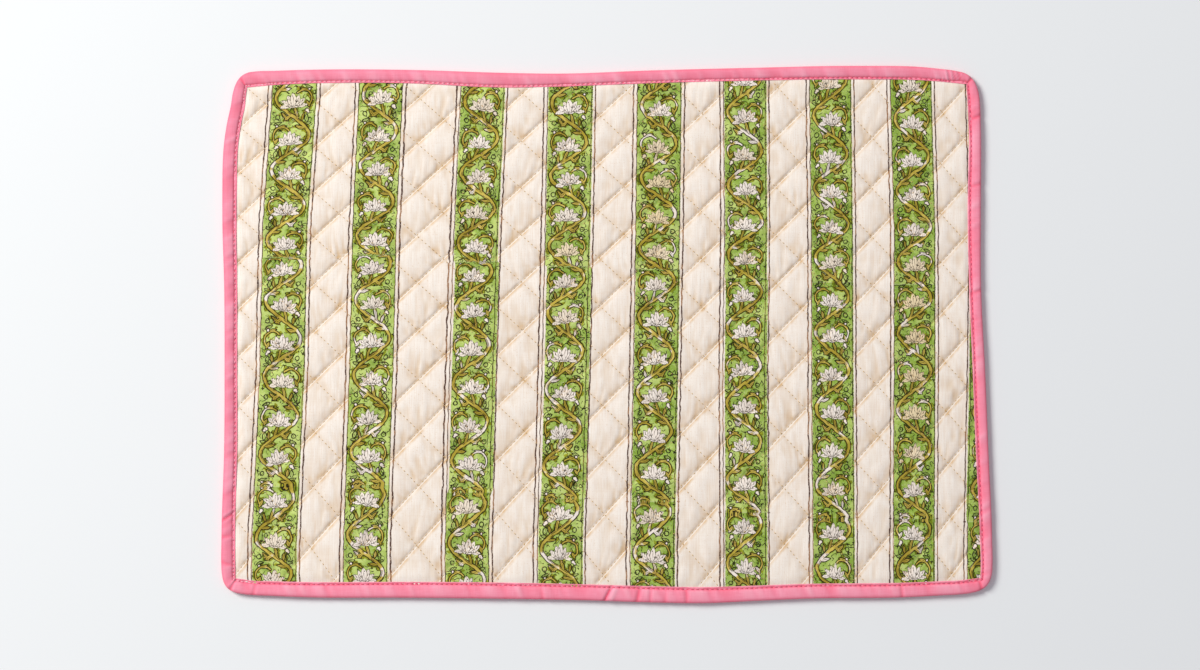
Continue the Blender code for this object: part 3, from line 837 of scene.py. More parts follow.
# ---- materials ---------------------------------------------------------------------------------
def node_adder(tree):
    """A function that adds a node to this tree, fills its inputs in order and returns an output.

    The kind is the node's type without its prefix and, after a dot, its operation.
    """
    def add(kind, *inputs, out=0, **settings):
        kind, _, operation = kind.partition(".")
        node = tree.nodes.new("ShaderNode" + kind)
        if operation:
            node.operation = operation
        for name, value in settings.items():
            setattr(node, name, value)
        for socket, value in zip(node.inputs, inputs):
            if isinstance(value, bpy.types.NodeSocket):
                tree.links.new(value, socket)
            elif value is not None:
                socket.default_value = value
        return node.outputs[out]
    return add


def matt_material(name, roughness):
    """A new material without gloss: it, its shader and a function that adds nodes to it."""
    material = bpy.data.materials.new(name)
    material.use_nodes = True
    shader = material.node_tree.nodes["Principled BSDF"]
    shader.inputs["Roughness"].default_value = roughness
    shader.inputs["Specular IOR Level"].default_value = SPECULAR
    return material, shader, node_adder(material.node_tree)


def woven(name, pattern, *colours):
    """A new cloth material whose colour and threads come from a pattern function."""
    finish = FINISHES[name]
    material, shader, add = matt_material(name, finish.roughness)
    shader.inputs["Sheen Weight"].default_value = finish.sheen
    base, thread = pattern(add, finish, *colours)
    relief = add("Bump", finish.relief, 1.0, None, add("Math.MULTIPLY", thread, THREAD_RELIEF_MM * MM))
    material.node_tree.links.new(base, shader.inputs["Base Color"])
    material.node_tree.links.new(relief, shader.inputs["Normal"])
    return material


def colour(value):
    """A property's linear colour with full opacity."""
    return (*value, 1.0)


def threads(add, place, across_mm, along_mm):
    """Uneven upright and level threads, each a long thin noise, as two values round a half.

    The level ones start elsewhere in the noise, so that they don't mirror the upright ones.
    """
    fine, long = 1 / (across_mm * MM), 1 / (along_mm * MM)
    for start, scale in (((0, 0, 0), (fine, long, 1)), ((7, 3, 0), (long, fine, 1))):
        thread = add("Mapping", place, start, (0, 0, 0), scale)
        yield add("TexNoise", thread, None, 1.0, 1.0, noise_dimensions="2D")


def joined(add, shapes):
    """Distance outside the nearest of several shapes, in mm."""
    return reduce(partial(add, "Math.MINIMUM"), shapes)


def blade_shape(add, place, blade):
    """Distance outside a pointed blade in mm, and distance outside its middle vein."""
    length_mm = math.hypot(blade.to_x - blade.x, blade.to_y - blade.y)
    turn = math.atan2(blade.to_y - blade.y, blade.to_x - blade.x)
    middle = ((blade.x + blade.to_x) / 2, (blade.y + blade.to_y) / 2, 0)
    folded = add("VectorMath.ABSOLUTE", add("Mapping", place, middle, (0, 0, turn), vector_type="TEXTURE"))
    for reach, half in ((length_mm / 2, blade.width / 2), (length_mm * VEIN_SHARE / 2, VEIN_HALF_MM)):
        radius = (reach**2 + half**2) / (2 * half)
        far = add("VectorMath.DISTANCE", folded, (0, half - radius, 0), out="Value")
        yield add("Math.SUBTRACT", far, radius)


def bud_shape(add, place, bud):
    """Distance outside a round bud in mm."""
    far = add("VectorMath.DISTANCE", place, (bud.x, bud.y, 0), out="Value")
    return add("Math.SUBTRACT", far, bud.radius)


def stem_shape(add, place):
    """How far to the right of the winding stem's middle a place lies, in mm."""
    x, y, _ = add("SeparateXYZ", place).node.outputs
    turn = math.pi / ROW_MM
    phase = add("Math.MULTIPLY_ADD", y, turn, -turn * STEM_LEAD_MM)
    middle = add("Math.MULTIPLY", add("Math.COSINE", phase), -STEM_SWING_MM)
    slope = add("Math.MULTIPLY", add("Math.SINE", phase), STEM_SWING_MM * turn)
    steep = add("Math.SQRT", add("Math.MULTIPLY_ADD", slope, slope, 1.0))
    return add("Math.DIVIDE", add("Math.SUBTRACT", x, middle), steep)


def hook_shape(add, place):
    """Distance outside the curled tendril over the flower, in mm."""
    hook = HOOK_MM
    turn = (0, 0, HOOK_MIDDLE - math.pi / 2)
    local = add("Mapping", place, (hook.x, hook.y, 0), turn, vector_type="TEXTURE")
    folded = add("VectorMath.MAXIMUM", local, add("VectorMath.MULTIPLY", local, (-1, 1, 1)))
    far = add("VectorMath.LENGTH", local, out="Value")
    ring = add("Math.ABSOLUTE", add("Math.SUBTRACT", far, hook.radius))
    end = (math.sin(HOOK_REACH) * hook.radius, math.cos(HOOK_REACH) * hook.radius, 0)
    normal = (math.cos(HOOK_REACH), -math.sin(HOOK_REACH), 0)
    past = add("VectorMath.DOT_PRODUCT", folded, normal, out="Value")
    to_end = add("VectorMath.DISTANCE", folded, end, out="Value")
    nearest = add("Mix", add("Math.GREATER_THAN", past, 0.0), None, ring, to_end)
    return add("Math.SUBTRACT", nearest, hook.half)


def print_patterns(add):
    """All that the inks are drawn from, as the fields of one namespace.

    It holds places beside the seams and on the printing block in mm, the block's uneven patterns, each
    round a half, how far specks of ink stray, and the band that the green block covered.
    """
    on = SimpleNamespace()
    (on.by_rising, on.by_falling, on.under_joint), (on.across, on.row, shift) = (
        add("SeparateXYZ", add("Attribute", out="Vector", attribute_name=name)).node.outputs
        for name in ("seam", "print_place")
    )
    on.stripe = add("Math.ROUND", on.across)
    on.aside = add("Math.MULTIPLY", add("Math.SUBTRACT", on.across, on.stripe), PITCH_MM)
    across, down = add("Math.MULTIPLY", on.across, PITCH_MM), add("Math.MULTIPLY", on.row, ROW_MM)
    paper = add("CombineXYZ", across, down, 0.0)
    on.hand, on.grain, patches, curls = (
        add("TexNoise", paper, None, 1 / size_mm, detail, noise_dimensions="2D", out=out)
        for size_mm, detail, out in (
            (HAND_MM, 2.0, "Color"), (GRAIN_MM, 2.0, 0), (PATCH_MM, 3.0, "Color"), (CURL_MM, 0.0, "Color"))
    )
    on.thickness, on.olive_patch, on.slip_patch = add("SeparateColor", patches).node.outputs
    on.curl, on.curl_patch, on.mottle = add("SeparateColor", curls).node.outputs
    half = WAVER_MM / 2
    on.waver = add("VectorMath.MULTIPLY_ADD", on.hand, (WAVER_MM, WAVER_MM, 0), (-half, -half, 0))
    on.ragged = add("MapRange", on.grain, *TURN.stray)
    on.inked = add("MapRange", on.grain, *TURN.inked)
    on.from_joint = add("Math.ABSOLUTE", add("Math.ADD", on.under_joint, on.ragged))
    from_middle = add("Math.ADD", add("Math.ABSOLUTE", add("Math.SUBTRACT", on.aside, shift)), on.ragged)
    on.band = add("MapRange", from_middle, GREEN_HALF_MM + BAND_SOFT_MM, GREEN_HALF_MM - BAND_SOFT_MM)
    return on


def add_motif(add, on):
    """Add the row's motif to the patterns: its own lean and chances, and its shapes in mm."""
    on.cell = add("Math.FLOOR", add("Math.ADD", on.row, CELL_TOP_MM / ROW_MM))
    chance = add("CombineXYZ", on.stripe, on.cell, 0.0)
    chance = add("TexWhiteNoise", chance, noise_dimensions="2D", out="Color")
    lean, size, on.straw = add("SeparateColor", chance).node.outputs
    on.lean = add("CombineXYZ", 0.0, 0.0, add("MapRange", lean, *TURN.lean))
    on.size = add("CombineXYZ", add("MapRange", size, 0.0, 1.0, *FLOWER_WIDTHS), 1.0, 1.0)

    mirrored = add("Math.MULTIPLY_ADD", add("Math.FLOORED_MODULO", on.cell, 2.0), -2.0, 1.0)
    up = add("Math.MULTIPLY", add("Math.SUBTRACT", on.cell, on.row), ROW_MM)
    here = add("CombineXYZ", add("Math.MULTIPLY", on.aside, mirrored), up, 0.0)
    on.here = add("VectorMath.MULTIPLY_ADD", on.waver, (PLANT_WAVER, PLANT_WAVER, 0), here)
    olive, olive_veins = zip(*(blade_shape(add, on.here, leaf) for leaf in (STALK, *OLIVE_LEAVES)))
    green, green_veins = zip(*(blade_shape(add, on.here, leaf) for leaf in GREEN_LEAVES))
    on.beside_stem = stem_shape(add, on.here)
    stem = add("Math.SUBTRACT", add("Math.ABSOLUTE", on.beside_stem), STEM_HALF_MM)
    on.leafage = joined(add, (hook_shape(add, on.here), *olive))
    on.plants = joined(add, (stem, on.leafage))
    on.veins = joined(add, olive_veins + green_veins)
    on.sketched = joined(add, (bud_shape(add, on.here, RING), *green))
    on.buds = joined(add, [bud_shape(add, on.here, bud) for bud in BUDS])


def flower_ink(add, on, dark):
    """Lay the flower's petals over the dark ink, back ones first; return the ink and the outside."""
    foot = add("Mapping", on.here, (*FLOWER_FOOT_MM, 0), on.lean, on.size, vector_type="TEXTURE")
    long = add("VectorMath.MULTIPLY", foot, STROKES_PER_MM)
    strokes = add("TexNoise", long, None, 1.0, 1.0, noise_dimensions="2D")
    dashes = add("MapRange", strokes, *TURN.petal_dashes)
    broken = add("MapRange", strokes, *TURN.petal_breaks)
    outsides = []
    for petal in PETALS:
        outside, vein = blade_shape(add, foot, petal)
        rim = add("MapRange", outside, -PETAL_LINE_MM - INK_SOFT_MM, -PETAL_LINE_MM + INK_SOFT_MM)
        line = add("Math.MAXIMUM", rim, add("MapRange", vein, *TURN.petal_vein))
        line = add("Math.MAXIMUM", add("Math.MULTIPLY", line, broken), dashes)
        cover = add("MapRange", outside, PETAL_LINE_MM + INK_SOFT_MM, PETAL_LINE_MM - INK_SOFT_MM)
        dark = add("Mix", cover, None, dark, line)
        outsides.append(outside)
    return dark, joined(add, outsides)


def dark_ink(add, on):
    """How much dark ink lies on each place: outlines, veins, stem shade, curls, petals and buds."""
    thick, thin = INK_LINE_MM + INK_SOFT_MM, INK_LINE_MM - INK_SOFT_MM
    sketch = add("MapRange", add("Math.ABSOLUTE", on.sketched), thick, thin)
    sketch = add("Math.MULTIPLY", sketch, add("MapRange", on.plants, *TURN.off_plants))
    outline = add("MapRange", add("Math.ABSOLUTE", on.plants), thick, thin)
    vein = add("MapRange", on.veins, *TURN.vein)
    off_shade = add("Math.ABSOLUTE", add("Math.SUBTRACT", on.beside_stem, STEM_SHADE_MM))
    shade = add("MapRange", off_shade, *TURN.stem_shade)
    shade = add("Math.MULTIPLY", shade, add("MapRange", on.hand, *TURN.stem_shade_seen))
    curl = add("MapRange", add("Math.ABSOLUTE", add("Math.SUBTRACT", on.curl, 0.5)), *TURN.curl)
    curl = add("Math.MULTIPLY", curl, add("MapRange", on.curl_patch, *TURN.curl_seen))
    curl = add("Math.MULTIPLY", curl, add("MapRange", on.plants, *TURN.curl_off_plants))
    dark = reduce(partial(add, "Math.MAXIMUM"), (sketch, outline, vein, shade, curl))
    dark, flower = flower_ink(add, on, dark)
    bud_cover, bud_rim = add("MapRange", on.buds, thick, thin), add("MapRange", on.buds, -thick, -thin)
    dark = add("Mix", bud_cover, None, dark, bud_rim)
    on.blooms = joined(add, (flower, on.buds))
    return add("Math.MULTIPLY", dark, add("Math.MULTIPLY", on.band, on.inked))


def olive_ink(add, on):
    """How much olive ink lies on each place: stems and leaves, slipped and spread past their outlines."""
    slip = add("MapRange", on.slip_patch, *TURN.slip)
    stem = add("Math.ABSOLUTE", add("Math.SUBTRACT", on.beside_stem, slip))
    plants = joined(add, (add("Math.SUBTRACT", stem, STEM_HALF_MM), on.leafage))
    spread = add("MapRange", on.curl_patch, *TURN.olive_spread)
    olive = add("MapRange", add("Math.SUBTRACT", plants, spread), *TURN.olive_edge)
    off_blooms = add("MapRange", on.blooms, *TURN.off_blooms)
    seen = add("MapRange", on.olive_patch, *TURN.olive_seen)
    return reduce(partial(add, "Math.MULTIPLY"), (olive, off_blooms, seen, on.band))


def green_ink(add, on):
    """How much green ink lies on each place: the whole band but for its plants and flowers."""
    reserve = add("MapRange", on.slip_patch, *TURN.reserve)
    reserved = add("Math.ADD", joined(add, (on.plants, on.blooms)), reserve)
    green = add("MapRange", reserved, *TURN.green_edge)
    specks = add("MapRange", on.grain, *TURN.green_specks)
    joint = add("MapRange", on.from_joint, *TURN.green_joint)
    return reduce(partial(add, "Math.MULTIPLY"), (green, on.band, specks, joint))


def brown_ink(add, on):
    """How much brown ink lies on each place: two lines on each side of a stripe, and register marks.

    The marks stand where two blocks meet, towards the lower right of the mat alone.
    """
    waver = add("SeparateXYZ", add("VectorMath.SCALE", on.waver, None, None, LINE_WAVER))
    from_middle = add("Math.ABSOLUTE", add("Math.ADD", on.aside, waver))
    broken = add("Math.MULTIPLY", on.ragged, LINE_BROKEN)
    lines = []
    for line_at, half in BROWN_LINES:
        off = add("Math.ADD", add("Math.ABSOLUTE", add("Math.SUBTRACT", from_middle, line_at)), broken)
        lines.append(add("MapRange", off, half + LINE_SOFT_MM.outside, half - LINE_SOFT_MM.inside))
    off = add("Math.ABSOLUTE", add("Math.SUBTRACT", from_middle, OUTER_LINE_MM))
    mark = add("MapRange", off, *TURN.mark)
    beside_joint = add("MapRange", on.from_joint, *TURN.mark_joint)
    lower_right = add("MapRange", add("Math.ADD", on.across, on.row), *TURN.mark_seen)
    lines.append(reduce(partial(add, "Math.MULTIPLY"), (mark, beside_joint, lower_right)))
    lines = reduce(partial(add, "Math.MAXIMUM"), lines)
    printed = add("MapRange", add("Math.ABSOLUTE", on.aside), *STRIPE_END_MM)
    return add("Math.MULTIPLY", lines, add("Math.MULTIPLY", printed, on.inked))


def bare_cotton(add, on, thread, colours):
    """The bare cloth's colour: cream threads, painted tan shade by seams and in folds, tan specks, straw
    flowers.
    """
    fine = add("MapRange", thread, *TURN.thread_tone)
    cloth = add("MixRGB", fine, colour(colours.cream_shade), colour(colours.cream))
    # Painted tan shade beside the seams and in the folds, with the cloth's tan specks, weaker under the
    # green ink.
    seam_shades = [add("MapRange", getattr(on, seam_shade.measure), seam_shade.start, seam_shade.end, 0.0, seam_shade.strength)
              for seam_shade in PAINTED_SEAM_SHADES]
    painted_shade_and_specks = reduce(partial(add, "Math.ADD"), seam_shades)
    painted_shade_and_specks = add("Math.MULTIPLY", painted_shade_and_specks, add("MapRange", on.hand, *TURN.stain_patches))
    sunk = add("SeparateXYZ", add("Attribute", out="Vector", attribute_name="fold"))
    painted_shade_and_specks = add("Math.ADD", painted_shade_and_specks, add("MapRange", sunk, *TURN.stain_folds))
    painted_shade_and_specks = add("Math.MAXIMUM", painted_shade_and_specks, add("MapRange", on.grain, *TURN.stain_specks))
    painted_shade_and_specks = add("Math.MULTIPLY", painted_shade_and_specks, add("MapRange", on.band, *TURN.stain_under_ink))
    # The painted shade darkens the bare cloth by multiplying it with the tan shade colour.
    cloth = add("MixRGB", painted_shade_and_specks, cloth, colour(colours.seam_tan), blend_type="MULTIPLY")

    straw = add("MapRange", on.straw, *TURN.straw_chance)
    cell = add("CombineXYZ", add("Math.MULTIPLY", on.stripe, STRIPE_APART), on.cell, 0.0)
    for stripe, row, reach in STRAYED:
        far = add("VectorMath.DISTANCE", cell, (stripe * STRIPE_APART, row, 0), out="Value")
        straw = add("Math.MAXIMUM", straw, add("MapRange", far, reach, reach - STRAY_FADE))
    straw = add("Math.MULTIPLY", straw, add("MapRange", on.blooms, *TURN.straw_inside))
    return add("MixRGB", straw, cloth, colour(colours.straw), blend_type="MULTIPLY")


def ink_thickness(add, on):
    """How thick the green ink lies: in patches, more to the right of the mat and below a joint."""
    pressed = add("Math.MULTIPLY_ADD", add("Math.SUBTRACT", on.mottle, 0.5), MOTTLE_SHARE, on.thickness)
    pressed = add("Math.ADD", pressed, add("MapRange", on.across, *TURN.thicker_rightwards))
    below = add("MapRange", on.under_joint, *TURN.thicker_below)
    near_joint = add("MapRange", add("Math.ABSOLUTE", on.under_joint), *TURN.near_joint)
    return add("Math.MULTIPLY_ADD", below, near_joint, pressed)


def block_printed(add, finish, colours):
    """Plain-woven cotton, block-printed by hand in green, olive, dark brown and brown.

    Matt and a little uneven: threads show faintly, ink is thinner in places, and each block landed a
    little beside the last, so slips of bare cloth and of doubled ink run along the shapes.
    """
    place = add("TexCoord", out="Object")
    upright, level = threads(add, place, finish.thread_mm, TOP_THREAD_LONG_MM)
    thread = add("Math.MULTIPLY_ADD", level, LEVEL_SHARE, upright)
    on = print_patterns(add)
    add_motif(add, on)
    dark = dark_ink(add, on)
    green, gold, brown = (
        add("MixRGB", add("MapRange", patch, *turn), colour(first), colour(second))
        for patch, turn, first, second in (
            (ink_thickness(add, on), TURN.green_thick, colours.green, colours.green_deep),
            (on.olive_patch, TURN.olive_thick, colours.gold, colours.olive),
            (on.slip_patch, TURN.brown_thin, colours.brown, colours.rust))
    )
    # The green ink covers the cloth, and the later ones darken what was printed before them.
    base = add("MixRGB", green_ink(add, on), bare_cotton(add, on, thread, colours), green)
    later = (olive_ink(add, on), gold), (dark, colour(colours.dark)), (brown_ink(add, on), brown)
    for cover, ink in later:
        base = add("MixRGB", cover, base, ink, blend_type="MULTIPLY")
    return base, thread


def plain_cotton(add, finish, light, deep, fold=None, ridge=None):
    """Plain-woven or spun dyed cotton: matt, with faint uneven threads.

    With a fold and a ridge colour, cloth drawn down into a crease gets painted shade in the deeper
    fold colour, and cloth that stands up in a ridge gets a painted highlight in the paler ridge colour.
    """
    place = add("TexCoord", out="Object")
    thread = add("Math.ADD", *threads(add, place, finish.thread_mm, finish.thread_mm * THREAD_LONG))
    broad = add("TexNoise", place, None, 1 / (BROAD_MM * MM), 2.0)
    tone = add("Math.MULTIPLY_ADD", add("Math.SUBTRACT", broad, 0.5), BROAD_SHARE, thread)
    base = add("MixRGB", add("MapRange", tone, *TONE), colour(deep), colour(light))
    if fold is not None:
        # Painted shade in the creases, painted highlight on the ridges.
        sunk = add("SeparateXYZ", add("Attribute", out="Vector", attribute_name="fold"))
        base = add("MixRGB", add("MapRange", sunk, 0.0, 1.0), base, colour(fold))
        base = add("MixRGB", add("MapRange", sunk, *RIDGE), base, colour(ridge))
    return base, thread


# ---- settings ----------------------------------------------------------------------------------
def length(name, size_mm, description):
    """A length property with its default in mm."""
    return FloatProperty(name=name, description=description, default=size_mm * MM,
                         unit="LENGTH", precision=5)


def tint(name, hex_colour, description):
    """A colour property with its default as an sRGB hex value."""
    return FloatVectorProperty(name=name, description=description, default=linear(hex_colour),
                               subtype="COLOR", min=0.0, max=1.0)


class PlacematQuilting(PropertyGroup):
    """Sizes of the quilting"""
    seam_height: length("Seam height", 2.15, "Height of the printed cloth along a seam")
    puff_height: length("Puff height", 3.6, "Height of the middle of a diamond")
    saddle_rise: length("Saddle", 0.3, "Rise of a rising seam between two crossings")
    wrinkle_depth: length("Wrinkles", 0.42, "Depth of the soft upright folds of a puff")
    lumps: length("Lumps", 0.15, "Unevenness of the wadding")
    puckers: length("Puckers", 0.25, "Unevenness of the cloth beside its seams")
    back_dimple: length("Back dimples", 0.75, "How far the seams lift the backing")
    stitch_pitch: length("Stitch pitch", 3.0, "From one quilting stitch to the next")
    stitch_length: length("Stitch length", 1.5, "Length of a quilting stitch that shows")
    stitch_width: length("Thread", 0.5, "Width of the quilting thread")
    steepness: FloatProperty(name="Steepness", description="The smaller, the flatter a puff's top",
                             default=0.45)
    falling_share: FloatProperty(name="Falling seams", description="Depth beside that of the rising ones",
                                 default=0.58, subtype="FACTOR", min=0.0, max=1.0)


class PlacematBinding(PropertyGroup):
    """Sizes of the binding's topstitching and its unevenness"""
    stitch_pitch: length("Stitch pitch", 3.1, "From one binding stitch to the next")
    stitch_length: length("Stitch length", 2.3, "Length of a binding stitch that shows")
    stitch_width: length("Thread", 0.55, "Width of the binding thread")
    stitch_pull: length("Stitch pull", 0.55, "Depth of the valley along the stitches")
    pucker: length("Puckers", 0.22, "Extra depth at each stitch hole")
    ripple: length("Ripples", 0.24, "Height of the cross folds of the strip")


class PlacematColours(PropertyGroup):
    """Colours of the cloths, inks and threads"""
    cream: tint("Cream", "#F7EDE3", "Bare cotton")
    cream_shade: tint("Cream threads", "#F0E1D4", "Thicker threads of the bare cotton")
    # Colour of the painted shade beside the seams and in the folds of the bare cloth.
    seam_tan: tint("Seam tan", "#E2C7A0", "Tint of the cloth drawn down into a seam")
    green: tint("Green", "#C3D376", "Green ink where it is thin")
    green_deep: tint("Deep green", "#8CA93F", "Green ink where it is thick")
    olive: tint("Olive", "#B3A73B", "Ink of the stems and leaves where it is thick")
    gold: tint("Gold", "#DCCF68", "Ink of the stems and leaves where it is thin")
    straw: tint("Straw", "#EFE2B4", "Flowers under a slip of the olive block")
    dark: tint("Outline", "#3C3019", "Dark ink of the outlines")
    brown: tint("Brown", "#5A4239", "Ink of the lines beside each stripe")
    rust: tint("Rust", "#A98365", "The same ink where it is thin")
    pink: tint("Pink", "#F993AB", "Binding")
    pink_deep: tint("Deep pink", "#F3879F", "Thicker threads of the binding")
    # Painted shade in the binding's creases and on its outer side; painted highlight on its ridges.
    pink_fold: tint("Pink of the folds", "#F2647F", "Binding where it is drawn into a crease")
    pink_ridge: tint("Pink of the ridges", "#F8BCCB", "Binding where it stands up in a ridge")
    tan: tint("Tan thread", "#C8A56C", "Quilting thread")
    rose: tint("Rose thread", "#E0557A", "Thread of the binding on the right and below")
    # Painted highlight: the rose thread drawn paler on the sides that face the light.
    pale_rose: tint("Pale thread", "#F9B9C8", "Thread of the binding on the left and above")


class PlacematStudio(PropertyGroup):
    """Light and floor"""
    key_power: FloatProperty(name="Window light", description="Power of the big soft light",
                             default=137.0, unit="POWER")
    key: tint("Window colour", "#FCFDF8", "Colour of the big soft light")
    key_size: length("Light size", 1600.0, "Across the soft light")
    key_distance: length("Light distance", 3600.0, "From the mat to the soft light")
    key_elevation: FloatProperty(name="Light elevation", description="Above the floor",
                                 default=math.radians(38), subtype="ANGLE")
    fill_strength: FloatProperty(name="Fill", description="Strength of the room's light", default=0.42)
    fill: tint("Fill colour", "#F4F5FF", "Light of the room")
    floor: tint("Floor", "#ECEDEE", "Pale matt board")


# ---- pieces ------------------------------------------------------------------------------------
def cut_size(cloth):
    """Width and length that a cloth of the panel was cut to, before the quilting took some up."""
    return cloth.dimensions.x * TAKE_UP, cloth.dimensions.y * TAKE_UP


class PLACEMAT_OT_printed_top(Operator):
    """Make the printed cloth with its wadding"""
    bl_idname = "placemat.printed_top"
    bl_label = "Printed top"

    def execute(self, context):
        quilt = millimetres(context.scene.placemat_quilting)
        cloth, shown_count = quilted_cloth("printed_top", TOP_CELLS, top_heights, TOP_FLOOR_MM, quilt)
        spread_map(cloth, shown_count)
        material = woven("block_printed_cotton", block_printed, context.scene.placemat_colours)
        finish_piece(cloth, material, "printed_cotton", "quilted_panel")
        cut_size(cloth)
        return {"FINISHED"}


class PLACEMAT_OT_backing(Operator):
    """Make the plain cloth on the underside"""
    bl_idname = "placemat.backing"
    bl_label = "Backing"

    def execute(self, context):
        colours = context.scene.placemat_colours
        quilt = millimetres(context.scene.placemat_quilting)
        cloth, _ = quilted_cloth("backing", BACK_CELLS, back_heights, BACK_CEILING_MM, quilt)
        material = woven("unbleached_cotton_backing", plain_cotton, colours.cream, colours.cream_shade)
        finish_piece(cloth, material, "printed_cotton", "quilted_panel")
        cut_size(cloth)
        return {"FINISHED"}


def stitch_inset(places):
    """Distance of the topstitching from the binding's inner edge, in mm."""
    at = band_point(places, np.full(len(places), 1.0))
    angle = np.degrees(np.arctan2(at[:, 1], at[:, 0]))
    side = STITCH_INSET_MM
    insets = (side.left, side.left, side.bottom, side.bottom, side.right,
              side.right, side.top, side.top, side.left, side.left)
    wander = STITCH_WANDER_MM * edge_noise(places, WANDER_MM, seed=21)
    return np.interp(angle, SIDE_TURNS_DEG, insets) + wander


def creases(places, across):
    """Depth of the binding's single creases and of its run of tight ones, in mm."""
    outer = Border(0.0)
    depth = np.zeros(len(places))
    for crease, start in zip(CREASES, outer.places[outer.nearest([(c.x, c.y) for c in CREASES])]):
        along = (places - start - crease.lean * across + ROUND_MM / 2) % ROUND_MM - ROUND_MM / 2
        depth += crease.depth * bell(along, crease.width)
    run = TIGHT_RUN
    x, y = band_point(places, across).T
    tight = smooth((x - run.start) / run.fade) * smooth((run.end - x) / run.fade) * (y > 0)
    return depth + tight * run.depth * np.cos((x - run.lean * across) * 2 * math.pi / run.pitch)


def off_stitches(places, across):
    """How much further in than the topstitching each point of the band lies, in mm."""
    return (1 - across) * band_width(places) - stitch_inset(places)


def binding_heights(places, across, base, sizes):
    """Heights of the binding's top face: its roll, the stitched valley, puckers and small ripples."""
    off = off_stitches(places, across)
    hole = sizes.pucker * (0.5 + 0.5 * np.cos(2 * math.pi * places / sizes.stitch_pitch))
    pull = sizes.stitch_pull * (1 + PULL_UNEVEN * edge_noise(places, PULL_MM, seed=3)) + hole
    valley = pull * bell(off, VALLEY_MM) + PUCKER_SHARE * hole * bell(off, PUCKER_REACH_MM)
    slant = places + RIPPLE_SLANT_MM * across
    ripple = sum(edge_noise(slant, fold.wavelength, fold.seed) * (fold.at_fold + fold.growth * across)
                 for fold in RIPPLES)
    calm = 1 - LIP_CALM * smooth((across - LIP_ACROSS) / (1 - LIP_ACROSS))
    uneven = smooth((base - UNEVEN_FROM_MM) / UNEVEN_RISE_MM) * calm
    return base + uneven * (sizes.ripple * ripple - valley - creases(places, across))


class PLACEMAT_OT_binding(Operator):
    """Make the folded strip round the edge"""
    bl_idname = "placemat.binding"
    bl_label = "Binding"

    def execute(self, context):
        sizes = millimetres(context.scene.placemat_binding)
        colours = context.scene.placemat_colours
        profile = UNDER_SKIN + TOP_SKIN + LINING
        columns = round(ROUND_MM / BINDING_STEP_MM)
        strip, share = grid("binding", columns, len(profile))
        places = share[:, 0] * ROUND_MM
        number = np.rint(share[:, 1] * len(profile)).astype(int) % len(profile)
        across, height = np.array(profile)[number].T
        on_top = (number >= len(UNDER_SKIN)) & (number < len(UNDER_SKIN + TOP_SKIN))
        below = number < len(UNDER_SKIN)
        height[below] += UNDER_PULL_MM * bell(off_stitches(places[below], across[below]), UNDER_VALLEY_MM)
        even = height.copy()
        height[on_top] = binding_heights(places[on_top], across[on_top], height[on_top], sizes)
        place_vertices(strip, np.column_stack((band_point(places, across), height)))
        # The fold share also paints shade on the strip's outer side.
        write_fold(strip, even - height + SIDE_PAINTED_SHADE_MM * smooth(1 - across / SIDE_ACROSS))
        bpy.ops.object.mode_set(mode="EDIT")
        bpy.ops.mesh.select_all(action="SELECT")
        close_up(partial(bpy.ops.mesh.remove_doubles, threshold=MERGE_MM * MM))
        material = woven("pink_plain_weave_cotton", plain_cotton, colours.pink, colours.pink_deep,
                         colours.pink_fold, colours.pink_ridge)
        finish_piece(strip, material, "pink_binding", "edge_binding")
        middle_fold_mm = (ROUND_MM + np.linalg.norm(np.roll(INNER, -1, axis=0) - INNER, axis=1).sum()) / 2
        return {"FINISHED"}


def sew(name, middles, along, length_mm, width_mm, material, slot):
    """Many stitches as one mesh: a small spindle, arrayed, each copy moved to its place and turned."""
    deselect()
    bpy.ops.mesh.primitive_ico_sphere_add(subdivisions=1, radius=1)
    thread = bpy.context.object
    thread.name = thread.data.name = name
    shape = coordinates(thread) * MM * (length_mm / 2, width_mm / 2, width_mm / 2)
    bpy.ops.object.modifier_add(type="ARRAY")
    array = thread.modifiers[-1]
    array.count = len(middles)
    bpy.ops.object.modifier_apply(modifier=array.name)
    along = along / np.linalg.norm(along, axis=1)[:, None]
    side = np.column_stack((-along[:, 1], along[:, 0], np.zeros(len(along))))
    over = np.cross(along, side)
    verts = middles[:, None] + sum(shape[None, :, axis, None] * way[:, None]
                                   for axis, way in enumerate((along, side, over)))
    place_vertices(thread, verts.reshape(-1, 3))
    finish_piece(thread, material, slot)
    return thread


def seam_runs(family, pitch_mm, offset):
    """Places and directions of stitches along the seams of a family, and how far in they lie.

    The offset is the place of a seam's first stitch, in pitches.
    """
    inner = Border(1.0)
    numbers = line_numbers(inner.points)
    low, high = math.ceil(numbers[:, family].min()), math.floor(numbers[:, family].max())
    reach = numbers[:, 1 - family]
    middles, along = [], []
    for line in range(low, high + 1):
        wanted = np.empty((RUN_POINTS, 2))
        wanted[:, family] = line
        wanted[:, 1 - family] = np.linspace(reach.min(), reach.max(), RUN_POINTS)
        xy = crossings(wanted)
        run = np.concatenate(([0.0], np.cumsum(np.linalg.norm(np.diff(xy, axis=0), axis=1))))
        starts = np.arange((line * SEAM_SHIFT % 1 + offset) * pitch_mm, run[-1] - pitch_mm, pitch_mm)
        back, ahead = (np.column_stack([np.interp(starts + nudge, run, xy[:, axis]) for axis in (0, 1)])
                       for nudge in (-STITCH_AIM_MM, STITCH_AIM_MM))
        middles.append((back + ahead) / 2)
        along.append(ahead - back)
    middles, along = np.concatenate(middles), np.concatenate(along)
    depth = inner.depth(middles)
    kept = depth > STITCH_CLEAR_MM
    along = np.column_stack((along, np.zeros(len(along))))
    return middles[kept], along[kept], depth[kept]


